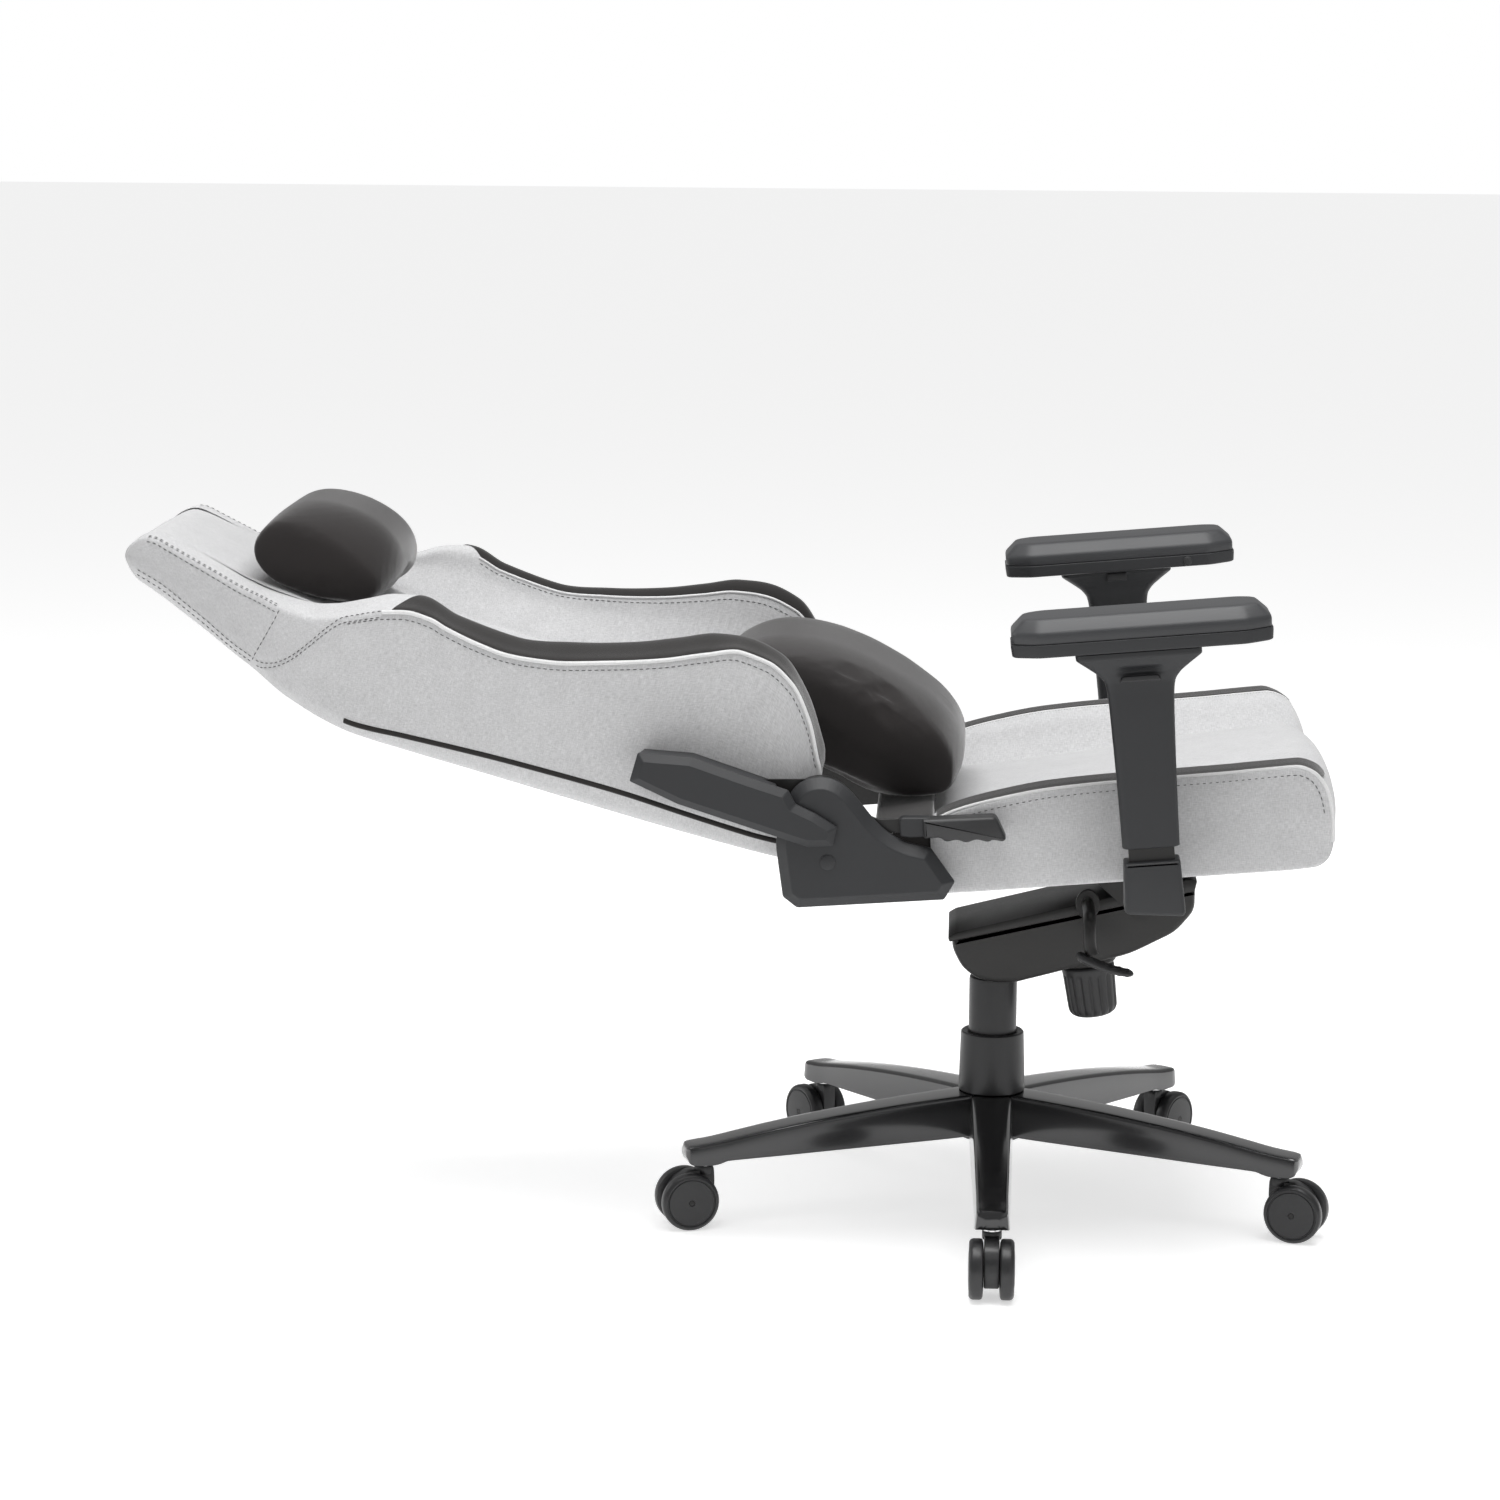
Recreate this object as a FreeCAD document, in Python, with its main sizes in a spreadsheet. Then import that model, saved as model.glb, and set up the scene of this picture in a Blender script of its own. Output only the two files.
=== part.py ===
"""Reclining gaming chair: five-star base, gas lift, tilt mechanism, seat, backrest, armrests and pillows.

The chair faces -Y, +X is the sitter's left and +Z is up. The origin is on the floor under the gas lift.
The seat is modelled in a frame of its own that leans back a little, and the backrest in one that lies
along +Y from the recliner's pivot, so most outlines are plain (y, z) side views of one of the frames.
"""
import FreeCAD, Part
import math
import os
import Sketcher
from FreeCAD import Placement, Rotation, Vector

doc = FreeCAD.newDocument("gaming_chair")
sheet = doc.addObject("Spreadsheet::Sheet", "Dims")
sheet_rows = 0
pieces = []


class Size:
    """A number together with the formula it comes from, so that a feature can be bound to the sheet."""

    def __init__(self, value, formula):
        self.value = float(value)
        self.formula = formula

    def join(self, other, sign, swap=False):
        other = other if isinstance(other, Size) else Size(other, "%.6g" % other)
        first, second = (other, self) if swap else (self, other)
        results = {"+": first.value + second.value, "-": first.value - second.value,
            "*": first.value * second.value}
        value = first.value / second.value if sign == "/" else results[sign]
        return Size(value, "(%s %s %s)" % (first.formula, sign, second.formula))

    def __add__(self, other):
        return self.join(other, "+")

    def __radd__(self, other):
        return self.join(other, "+", True)

    def __sub__(self, other):
        return self.join(other, "-")

    def __rsub__(self, other):
        return self.join(other, "-", True)

    def __mul__(self, other):
        return self.join(other, "*")

    def __rmul__(self, other):
        return self.join(other, "*", True)

    def __truediv__(self, other):
        return self.join(other, "/")

    def __neg__(self):
        return Size(-self.value, "(-1 * %s)" % self.formula)


def size(name, value):
    """Write one driving dimension in the sheet and return it."""
    global sheet_rows
    sheet_rows += 1
    sheet.set("A%d" % sheet_rows, name)
    sheet.set("B%d" % sheet_rows, "%g" % value)
    sheet.setAlias("B%d" % sheet_rows, name)
    return Size(value, "Dims.%s" % name)


def as_size(number):
    return number if isinstance(number, Size) else Size(number, "%.6g" % number)


def sine(angle):
    return Size(math.sin(math.radians(angle.value)), "sin(%s)" % angle.formula)


def cosine(angle):
    return Size(math.cos(math.radians(angle.value)), "cos(%s)" % angle.formula)


def bind(item, name, amount):
    item.setExpression(name, as_size(amount).formula)


# ---- driving dimensions, mm and degrees -------------------------------------------------------------
running_gap = size("running_gap", 0.05)          # radial play of a pin in its bore
soft_gap = size("soft_gap", 0.3)                 # between upholstered pieces and their neighbours

leg_reach = size("leg_reach", 333)
caster_circle = size("caster_circle", 312)       # radius from the lift to a caster's stem
hub_bottom = size("hub_bottom", 76)
hub_top = size("hub_top", 127)
hub_radius = size("hub_radius", 34)
leg_tip_top = size("leg_tip_top", 89)
leg_root_width = size("leg_root_width", 44)
leg_tip_width = size("leg_tip_width", 33)
stem_radius = size("stem_radius", 5.5)
wheel_radius = size("wheel_radius", 30)
wheel_width = size("wheel_width", 15.5)
caster_trail = size("caster_trail", 18)
fork_width = size("fork_width", 15)
axle_radius = size("axle_radius", 4)
wheel_play = size("wheel_play", 0.3)              # radial play of a wheel on its axle

lift_tube_radius = size("lift_tube_radius", 25)
lift_tube_top = size("lift_tube_top", 249)
lift_cover_top = size("lift_cover_top", 190)
piston_radius = size("piston_radius", 14)
piston_top = size("piston_top", 290)

housing_width = size("housing_width", 120)
housing_wall = size("housing_wall", 3)
tilt_pin_y = size("tilt_pin_y", -150)
tilt_pin_z = size("tilt_pin_z", 337)
tilt_pin_radius = size("tilt_pin_radius", 6)
knob_radius = size("knob_radius", 28)
knob_length = size("knob_length", 56)
knob_lean = size("knob_lean", 8)
knob_y = size("knob_y", -98)
knob_z = size("knob_z", 264)

seat_height = size("seat_height", 390)           # underside of the seat above the lift
seat_lean = size("seat_lean", 5)
seat_width = size("seat_width", 500)
seat_front = size("seat_front", 345)
seat_rear = size("seat_rear", 118)
panel_width = size("panel_width", 330)           # centre panel of the seat
cushion_front_top = size("cushion_front_top", 79)
cushion_rear_top = size("cushion_rear_top", 70)
bolster_top = size("bolster_top", 103)
frame_bar = size("frame_bar", 20)

pivot_y = size("pivot_y", 174)                   # recliner pivot
pivot_z = size("pivot_z", 471)
back_rise = size("back_rise", 16)                # angle of the lowered backrest above level
back_width = size("back_width", 490)
back_panel_width = size("back_panel_width", 310)
back_front = size("back_front", 13.7)
back_rail_front = size("back_rail_front", -15)
back_rail_rear = size("back_rail_rear", -40)
wing_top = size("wing_top", 131)
shoulder_reach = size("shoulder_reach", 577)
head_top = size("head_top", 745)

plate_thick = size("plate_thick", 4)
recliner_pin_radius = size("recliner_pin_radius", 6)
recliner_plate_x = size("recliner_plate_x", 252)  # inner face of the seat's recliner plates
seat_cover_x = size("seat_cover_x", 271)
seat_cover_thick = size("seat_cover_thick", 16)
arm_cover_thick = size("arm_cover_thick", 11)

arm_x = size("arm_x", 310)                       # armrest post, from the chair's middle
arm_y = size("arm_y", -151)
sleeve_thick = size("sleeve_thick", 26)
sleeve_bottom = size("sleeve_bottom", 47)
sleeve_top = size("sleeve_top", 205)
platform_top = size("platform_top", 240.5)
platform_length = size("platform_length", 120)
platform_width = size("platform_width", 52)
post_thick = size("post_thick", 16)
post_width = size("post_width", 44)
post_top = size("post_top", 195)
pad_x = size("pad_x", 298)
pad_length = size("pad_length", 250)
pad_width = size("pad_width", 94)
pad_base_thick = size("pad_base_thick", 13)
pad_thick = size("pad_thick", 23)
pad_travel = size("pad_travel", 25)
pad_shift = size("pad_shift", 10)
button_travel = size("button_travel", 3)

pillow_width = size("pillow_width", 300)
head_pillow_width = size("head_pillow_width", 264)

SEAT = ("seat", Size(0, "0"), seat_height, -seat_lean)
BACK = ("back", pivot_y, pivot_z, back_rise)
doc.recompute()


# ---- building blocks --------------------------------------------------------------------------------
def piece(label, frame=None, turn=None, at=None):
    """A body in one of the leaning frames, or turned about Z and moved to a place of its own."""
    body = doc.addObject("PartDesign::Body", label)
    body.Label = label
    if frame:
        body.Placement = Placement(Vector(0, frame[1].value, frame[2].value), Rotation(Vector(1, 0, 0),
            frame[3].value))
        bind(body, "Placement.Base.y", frame[1])
        bind(body, "Placement.Base.z", frame[2])
        bind(body, "Placement.Rotation.Angle", frame[3])
    if turn is not None:
        axis, angle = turn
        place = [as_size(number) for number in at]
        body.Placement = Placement(Vector(*[number.value for number in place]), Rotation(axis,
            as_size(angle).value))
        for letter, number in zip("xyz", place):
            bind(body, "Placement.Base.%s" % letter, number)
        bind(body, "Placement.Rotation.Angle", angle)
    pieces.append(body)
    return body


def sketch(body, plane, offset):
    made = body.newObject("Sketcher::SketchObject", "outline")
    origin_plane = [part for part in body.Origin.OriginFeatures if part.Role == plane + "_Plane"][0]
    made.AttachmentSupport = [(origin_plane, "")]
    made.MapMode = "FlatFace"
    offset = as_size(offset)
    made.AttachmentOffset = Placement(Vector(0, 0, offset.value), Rotation())
    bind(made, "AttachmentOffset.Base.z", offset)
    return made


def fix(made, kind, *places, amount):
    row = made.addConstraint(Sketcher.Constraint(kind, *places, amount.value))
    bind(made, "Constraints[%d]" % row, amount)


def draw(made, outline):
    """Draw a closed polygon, or a circle given as (centre, centre, radius), and bind it to the sheet."""
    if isinstance(outline, tuple):
        across, up, radius = [as_size(number) for number in outline]
        circle = made.addGeometry(Part.Circle(Vector(across.value, up.value, 0), Vector(0, 0, 1),
            radius.value), False)
        fix(made, "DistanceX", -1, 1, circle, 3, amount=across)
        fix(made, "DistanceY", -1, 1, circle, 3, amount=up)
        fix(made, "Radius", circle, amount=radius)
        return
    corners = [(as_size(across), as_size(up)) for across, up in outline]
    count = len(corners)
    first = made.GeometryCount
    for index, (across, up) in enumerate(corners):
        onward = corners[(index + 1) % count]
        line = Part.LineSegment(Vector(across.value, up.value, 0), Vector(onward[0].value,
            onward[1].value, 0))
        made.addGeometry(line, False)
    for index, (across, up) in enumerate(corners):
        made.addConstraint(Sketcher.Constraint("Coincident", first + index, 2,
            first + (index + 1) % count, 1))
        fix(made, "DistanceX", -1, 1, first + index, 1, amount=across)
        fix(made, "DistanceY", -1, 1, first + index, 1, amount=up)


def extrude(body, plane, low, high, outline, cut=False):
    """Add or cut a prism between two levels of the axis that the plane faces."""
    low, high = as_size(low), as_size(high)
    made = sketch(body, plane, -high if plane == "XZ" else low)
    draw(made, outline)
    feature = body.newObject("PartDesign::Pocket" if cut else "PartDesign::Pad",
        "cut" if cut else "prism")
    feature.Profile = made
    feature.Length = high.value - low.value
    bind(feature, "Length", high - low)
    feature.Reversed = cut
    return feature


def turned(body, outline, cut=False):
    """Turn a side view of (radius, height) points about the body's Z axis."""
    made = sketch(body, "XZ", 0)
    draw(made, outline)
    feature = body.newObject("PartDesign::Groove" if cut else "PartDesign::Revolution", "turned")
    feature.Profile = made
    feature.ReferenceAxis = (made, ["V_Axis"])
    feature.Angle = 360
    return feature


def loft(body, plane, sections, cut=False):
    """Join outlines drawn at several levels of one plane."""
    made = []
    for level, outline in sections:
        made.append(sketch(body, plane, level))
        draw(made[-1], outline)
    feature = body.newObject("PartDesign::SubtractiveLoft" if cut else "PartDesign::AdditiveLoft", "loft")
    feature.Profile = made[0]
    feature.Sections = made[1:]
    return feature


def box(low_across, low_up, high_across, high_up):
    return [(low_across, low_up), (high_across, low_up), (high_across, high_up), (low_across, high_up)]


def sided(side, near, far):
    """The span from near to far, out from the middle, on the left (+1) or right (-1) of the chair."""
    near, far = as_size(near), as_size(far)
    return (near, far) if side > 0 else (-far, -near)


def soften(body, radius, along, test=None):
    """Round the straight edges of the last feature that run along one axis of the body."""
    doc.recompute()
    base = body.Tip
    names = []
    for index, edge in enumerate(base.Shape.Edges):
        if len(edge.Vertexes) != 2 or edge.Curve.TypeId != "Part::GeomLine":
            continue
        way = edge.Vertexes[1].Point - edge.Vertexes[0].Point
        way.normalize()
        middle = (edge.Vertexes[1].Point + edge.Vertexes[0].Point) * 0.5
        if abs(way.dot(along)) > 0.999 and (test is None or test(middle)):
            names.append("Edge%d" % (index + 1))
    feature = body.newObject("PartDesign::Fillet", "rounding")
    feature.Base = (base, names)
    bind(feature, "Radius", radius)
    feature.Radius = as_size(radius).value
    return feature


X_AXIS, Y_AXIS, Z_AXIS = Vector(1, 0, 0), Vector(0, 1, 0), Vector(0, 0, 1)
SIDES = (("right", -1), ("left", 1))
LEG_ANGLES = (180, 252, 324, 36, 108)            # one leg points at the chair's right


# ---- base: star, gas lift and casters ---------------------------------------------------------------
def star_base():
    body = piece("star_base")
    turned(body, box(lift_tube_radius, hub_bottom, hub_radius, hub_top))
    wall = 3.5
    root_half, tip_half = leg_root_width / 2, leg_tip_width / 2
    start = lift_tube_radius + 4
    leg = loft(body, "YZ", (
        (start, box(-root_half, hub_bottom + 6, root_half, hub_top)),
        (leg_reach, box(-tip_half, leg_tip_top - 14, tip_half, leg_tip_top))))
    channel = loft(body, "YZ", (
        (hub_radius + 6, box(wall - root_half, hub_bottom, root_half - wall, hub_top - 12)),
        (caster_circle - 16, box(wall - tip_half, hub_bottom - 4, tip_half - wall, leg_tip_top - 6))),
        cut=True)
    socket = extrude(body, "XY", leg_tip_top - 22, leg_tip_top - 6, (caster_circle, 0, stem_radius + 5.5))
    bore = extrude(body, "XY", leg_tip_top - 22, leg_tip_top - 5, (caster_circle, 0,
        stem_radius + running_gap), cut=True)
    spread = body.newObject("PartDesign::PolarPattern", "legs")
    spread.Originals = [leg, channel, socket, bore]
    spread.Axis = (sketch(body, "XY", 0), ["N_Axis"])
    spread.Angle = 360
    spread.Occurrences = 5
    body.Tip = spread
    # one leg points along -X, so the whole star is turned half a turn
    body.Placement = Placement(Vector(), Rotation(Z_AXIS, LEG_ANGLES[0]))
    extrude(body, "XY", hub_bottom - 1, hub_top + 1, (0, 0, lift_tube_radius), cut=True)


def gas_lift():
    tube = piece("gas_lift_tube")
    wall = 3
    bore = piston_radius + running_gap
    turned(tube, [
        (bore, lift_tube_top - 80), (lift_tube_radius - wall, lift_tube_top - 80),
        (lift_tube_radius - wall, hub_bottom + 4),
        (lift_tube_radius - wall - 8, hub_bottom + 4), (lift_tube_radius - wall - 8, hub_bottom),
        (lift_tube_radius, hub_bottom),
        (lift_tube_radius, lift_tube_top - 2), (lift_tube_radius - 2, lift_tube_top),
        (bore, lift_tube_top)])
    cover = piece("lift_dust_cover")
    turned(cover, [
        (lift_tube_radius + 8, lift_cover_top), (lift_tube_radius, lift_cover_top),
        (lift_tube_radius, lift_cover_top - 8),
        (lift_tube_radius + 5.5, lift_cover_top - 8), (lift_tube_radius + 7, hub_top),
        (lift_tube_radius + 9.7, hub_top)])
    piston = piece("piston_tube")
    extrude(piston, "XY", hub_bottom + 9, piston_top, (0, 0, piston_radius))


def casters():
    collar_top = leg_tip_top - 22.6
    for number, angle in enumerate(LEG_ANGLES, 1):
        turn = Size(angle, "%d" % angle)
        at = (caster_circle * cosine(turn), caster_circle * sine(turn), 0)
        fork = piece("caster_%d_fork" % number, turn=(Z_AXIS, angle), at=at)
        half = fork_width / 2
        hood = wheel_radius + 3
        centre = caster_trail
        extrude(fork, "XZ", -half, half, [
            (-10, wheel_radius + 14), (-10, wheel_radius + 2), (centre - 16, wheel_radius - 14),
            (centre, wheel_radius - 20),
            (centre + 14, wheel_radius - 15), (centre + 23, wheel_radius),
            (centre + 20, wheel_radius + 16),
            (centre + 8, hood + wheel_radius - 6), (-10, hood + wheel_radius - 6)])
        # collar wider than the fork, so it starts above the tops of both wheels
        extrude(fork, "XY", 2 * wheel_radius + 1, collar_top, (0, 0, 9.7))
        extrude(fork, "XY", wheel_radius + 22, leg_tip_top - 6, (0, 0, stem_radius))
        extrude(fork, "XZ", -half - wheel_width, half + wheel_width, (centre, wheel_radius, axle_radius))
        wheels = doc.addObject("Part::Feature", "caster_%d_wheels" % number)
        wheels.Label = wheels.Name
        radius, width, gap = wheel_radius.value, wheel_width.value, soft_gap.value
        solids = []
        for low in (half.value + gap, -half.value - width):
            disc = Part.makeCylinder(radius, width - gap, Vector(centre.value, low, radius), Y_AXIS)
            disc = disc.makeFillet(2.5,
                [edge for edge in disc.Edges if edge.Closed and abs(edge.Length - 2 * math.pi * radius) < 1])
            bore = Part.makeCylinder(axle_radius.value + wheel_play.value, width + 2,
                Vector(centre.value, low - 1, radius), Y_AXIS)
            solids.append(disc.cut(bore))
        wheels.Shape = Part.makeCompound(solids)
        wheels.Placement = Placement(Vector(*[number.value if isinstance(number,
            Size) else number for number in at]),
                                     Rotation(Z_AXIS, angle))
        pieces.append(wheels)


# ---- tilt mechanism ---------------------------------------------------------------------------------
def tilt_housing():
    body = piece("tilt_housing")
    half = housing_width / 2
    wall = housing_wall
    extrude(body, "YZ", -half, half, [
        (44, 304), (42, 287), (33, 271), (19, 258), (0, 253), (-20, 253), (-140, 287), (-186, 311),
        (-205, 334), (-205, 368)])
    soften(body, 9, X_AXIS, lambda middle: middle.z < 300 and middle.y < -100)
    inner = half - wall
    extrude(body, "YZ", -inner, inner, [
        (50, 312), (44 - wall, 304), (42 - wall, 288), (33 - wall, 273), (18, 258 + wall),
        (0, 253 + wall), (-20, 253 + wall),
        (-139, 287 + wall), (-184, 311 + wall), (wall - 205, 335), (wall - 205, 376)], cut=True)
    extrude(body, "XY", 254, piston_top + 7, (0, 0, 20))
    extrude(body, "XY", 250, piston_top, (0, 0, piston_radius + running_gap), cut=True)
    # collar above the tension knob, square to the knob's leaning axis
    for radius, low, high, cut in ((knob_radius + 1, 0, 20, False), (10, -2, 30, True)):
        feature = extrude(body, "XY", low, high, (0, 0, radius), cut=cut)
        made = feature.Profile[0]
        made.AttachmentOffset = Placement(Vector(0, -98, 264 + low), Rotation(X_AXIS, -knob_lean.value))
        bind(made, "AttachmentOffset.Base.y", knob_y)
        bind(made, "AttachmentOffset.Base.z", knob_z + low)
        bind(made, "AttachmentOffset.Rotation.Angle", -knob_lean)
    for low, high in ((-half - 1, -inner + 1), (inner - 1, half + 1)):
        extrude(body, "YZ", low, high, (tilt_pin_y, tilt_pin_z, tilt_pin_radius), cut=True)
    extrude(body, "YZ", -half - 1, -inner + 1, (-95, 340, 7 + running_gap), cut=True)
    pin = piece("tilt_pivot_pin")
    extrude(pin, "YZ", -half - 8, half + 8, (tilt_pin_y, tilt_pin_z, tilt_pin_radius))


def tension_knob():
    body = piece("tension_knob", turn=(X_AXIS, -knob_lean), at=(0, knob_y, knob_z))
    turned(body, [
        (0, -0.4), (knob_radius, -0.4), (knob_radius, 12 - knob_length),
        (knob_radius - 4, 3 - knob_length),
        (knob_radius - 10, -knob_length), (0, -knob_length)])
    # bolt that the knob turns, up through the housing's floor to its spring seat
    extrude(body, "XY", -1, 34, (0, 0, 5))


def height_lever():
    body = piece("height_lever")
    half = housing_width / 2
    outer = half + 84
    extrude(body, "YZ", -outer, -half + 5, (-95, 340, 7))
    extrude(body, "YZ", -outer, -outer + 11, [
        (-82, 348), (-88, 354), (-102, 354), (-107, 348), (-105, 305), (-84, 303)])
    extrude(body, "YZ", -outer - 10, -outer + 14, [
        (-80, 309), (-106, 306), (-141, 287), (-143, 282), (-138, 279), (-100, 297), (-82, 303)])


# ---- seat -------------------------------------------------------------------------------------------
def seat_plate():
    body = piece("seat_plate", SEAT)
    half = housing_width / 2
    # ears reach down outside the housing to the tilt pin; the pin's place is turned into the seat's frame
    down = tilt_pin_z - seat_height
    pin_y = tilt_pin_y * cosine(seat_lean) - down * sine(seat_lean)
    pin_z = tilt_pin_y * sine(seat_lean) + down * cosine(seat_lean)
    extrude(body, "XY", -3, 0, box(-half - 20, -215, half + 20, -40))
    near, far = half + 1, half + 5
    for low, high in ((near, far), (-far, -near)):
        extrude(body, "YZ", low, high, [
            (-205, -1), (-205, -20), (pin_y - 14, pin_z - 2), (pin_y - 6, pin_z - 13),
            (pin_y + 6, pin_z - 13),
            (pin_y + 14, pin_z - 2), (-85, -20), (-60, -1)])
        extrude(body, "YZ", low - 1, high + 1, (pin_y, pin_z, tilt_pin_radius + running_gap), cut=True)


def seat_frame():
    body = piece("seat_frame", SEAT)
    half = panel_width / 2 - 1
    bar = frame_bar
    reach = recliner_plate_x
    extrude(body, "XY", 0, bar, box(-half, -300, half, -300 + bar))
    for low, high in ((half - 25, half), (-half, 25 - half)):
        extrude(body, "XY", 0, bar, box(low, -300, high, 90))
    extrude(body, "XY", 0, bar, box(-half, -215, half, -190))
    extrude(body, "XY", 0, bar, box(-half, -75, half, -50))
    extrude(body, "XY", 0, bar, box(-reach, 68, reach, 90))


def seat_upholstery():
    half = panel_width / 2
    base = frame_bar + soft_gap
    cushion = piece("seat_cushion", SEAT)
    extrude(cushion, "YZ", -half, half, [
        (seat_rear, base), (seat_rear, cushion_rear_top), (-100, cushion_rear_top),
        (-300, cushion_front_top),
        (-seat_front + 12, cushion_front_top - 3), (-seat_front, cushion_front_top - 30),
        (-seat_front + 1, 22), (-seat_front + 14, 2),
        (-301, 1), (-301, base)])
    soften(cushion, 10, X_AXIS, lambda middle: middle.y < -320 and middle.z > 30)
    for name, side in SIDES:
        bolster = piece("seat_bolster_%s" % name, SEAT)
        low, high = sided(side, half + soft_gap, seat_width / 2)
        extrude(bolster, "YZ", low, high, [
            (62, soft_gap), (62, base), (seat_rear, base), (seat_rear, 72), (50, 79), (-12, 94),
            (-64, bolster_top - 2),
            (-235, bolster_top), (-300, bolster_top + 1), (-318, bolster_top - 12), (-329, 71),
            (-330, 27), (-324, 10),
            (-308, soft_gap)])
        outer = seat_width.value / 2 - 1
        soften(bolster, 12, X_AXIS, lambda middle: middle.y < -310)
        soften(bolster, 14, Y_AXIS, lambda middle: middle.z > 90 and middle.x * side > outer)


def armrest_mounts():
    for name, side in SIDES:
        bracket = piece("armrest_bracket_%s" % name, SEAT)
        half_width = post_width / 2
        low, high = sided(side, panel_width / 2 - 30, arm_x + post_thick / 2)
        extrude(bracket, "XY", -5, 0, box(low, arm_y - half_width, high, arm_y + half_width))
        low, high = sided(side, arm_x - post_thick / 2, arm_x + post_thick / 2)
        extrude(bracket, "XY", -5, post_top, box(low, arm_y - half_width, high, arm_y + half_width))
        foot = piece("armrest_foot_%s" % name, SEAT)
        low, high = sided(side, arm_x - 20, arm_x + 16)
        extrude(foot, "YZ", low, high, [
            (arm_y - 27, 34), (arm_y + 27, 34), (arm_y + 30, -16), (arm_y - 29, -22)])
        soften(foot, 5, X_AXIS, lambda middle: middle.z < 0)
        low, high = sided(side, arm_x - post_thick / 2, arm_x + post_thick / 2)
        extrude(foot, "XY", -6, 35, box(low, arm_y - half_width, high, arm_y + half_width), cut=True)
        low, high = sided(side, arm_x - 21, arm_x)
        extrude(foot, "XY", -6, soft_gap, box(low, arm_y - half_width, high, arm_y + half_width),
            cut=True)


# ---- recliners --------------------------------------------------------------------------------------
def recliners():
    # the pivot's place in the seat's frame
    rise = pivot_z - seat_height
    centre_y = pivot_y * cosine(seat_lean) - rise * sine(seat_lean)
    centre_z = pivot_y * sine(seat_lean) + rise * cosine(seat_lean)
    inner = recliner_plate_x
    disc_out = inner + plate_thick + 6
    arm_in, arm_out = disc_out, disc_out + plate_thick
    cover_out = seat_cover_x + seat_cover_thick
    shell = 2.5
    for name, side in SIDES:
        plate = piece("recliner_seat_plate_%s" % name, SEAT)
        low, high = sided(side, inner, inner + plate_thick)
        extrude(plate, "YZ", low, high, [
            (60, 3), (198, 3), (205, 20), (centre_y + 30, centre_z + 14), (centre_y + 14, centre_z + 30),
            (centre_y - 14, centre_z + 30), (centre_y - 30, centre_z + 14), (110, 55), (60, 40)])
        low, high = sided(side, inner, disc_out)
        extrude(plate, "YZ", low, high, (centre_y, centre_z, 33))
        low, high = sided(side, inner, seat_cover_x - 1)
        extrude(plate, "YZ", low, high, (centre_y, centre_z, recliner_pin_radius))
        cover = piece("recliner_seat_cover_%s" % name, SEAT)
        low, high = sided(side, seat_cover_x, cover_out)
        outline = [
            (40, 18), (52, 1), (196, 3), (209, 15), (212, 70), (centre_y + 33, centre_z + 14),
            (centre_y + 21, centre_z + 29),
            (centre_y + 7, centre_z + 35), (centre_y - 7, centre_z + 35),
            (centre_y - 21, centre_z + 29), (127, 106), (115, 86), (104, 74),
            (94, 65), (83, 60), (61, 53)]
        extrude(cover, "YZ", low, high, outline)
        low, high = sided(side, seat_cover_x - 1, cover_out - shell)
        inset = 4
        extrude(cover, "YZ", low, high, [
            (40 + inset + 2, 18), (52 + inset, 1 + inset), (196 - inset, 3 + inset),
            (209 - inset, 17), (212 - inset - 1, 70),
            (centre_y + 28, centre_z + 12), (centre_y, centre_z + 31), (centre_y - 19, centre_z + 24),
            (127 + inset, 103), (115, 78), (83, 54), (61, 47)], cut=True)
        for spot in (120, 190):
            low, high = sided(side, inner + plate_thick, cover_out - shell + 1)
            extrude(cover, "YZ", low, high, (spot, 22, 6))
        arm = piece("recliner_arm_plate_%s" % name, BACK)
        low, high = sided(side, arm_in, arm_out)
        extrude(arm, "YZ", low, high, [
            (-28, -14), (-14, -28), (20, -30), (175, -28), (180, -10), (175, 8), (60, 14), (14, 28),
            (-14, 28), (-28, 14)])
        low, high = sided(side, arm_in - 1, arm_out + 1)
        extrude(arm, "YZ", low, high, (0, 0, recliner_pin_radius + running_gap), cut=True)
        for spot in (75, 150):
            low, high = sided(side, back_width / 2 - 20, arm_in + 1)
            extrude(arm, "YZ", low, high, (spot, -24, 7))
        shield = piece("recliner_arm_cover_%s" % name, BACK)
        low, high = sided(side, cover_out + 1.5, cover_out + 1.5 + arm_cover_thick)
        extrude(shield, "YZ", low, high, [
            (186, -21), (186, 8), (135, 19), (36, 15), (25, 3), (5, 1), (-20, -6), (-21, -25),
            (2, -33), (135, -29)])
        low, high = sided(side, arm_out, cover_out + 3)
        extrude(shield, "YZ", low, high, [(186, -21), (186, 8), (135, 19), (46, 15), (46, -32),
            (135, -29)])
    lever = piece("recline_lever", SEAT)
    low, high = sided(-1, arm_out + 0.7, seat_cover_x - 1.2)
    extrude(lever, "YZ", low, high, [
        (60, 66), (60, 82), (110, 84), (centre_y - 8, centre_z + 12), (centre_y + 8, centre_z + 12),
        (centre_y + 12, centre_z - 8),
        (centre_y - 4, centre_z - 13), (120, 72)])
    extrude(lever, "YZ", low - 1, high + 1, (centre_y, centre_z, recliner_pin_radius + running_gap),
        cut=True)
    extrude(lever, "YZ", -(seat_cover_x + 15), -(recliner_plate_x + 8), [
        (67, 64), (67, 83), (-3, 81), (-6, 77), (-13, 58), (-9, 56), (0, 58), (5, 56), (16, 60),
        (26, 57), (35, 61), (46, 59), (51, 64)])


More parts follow.
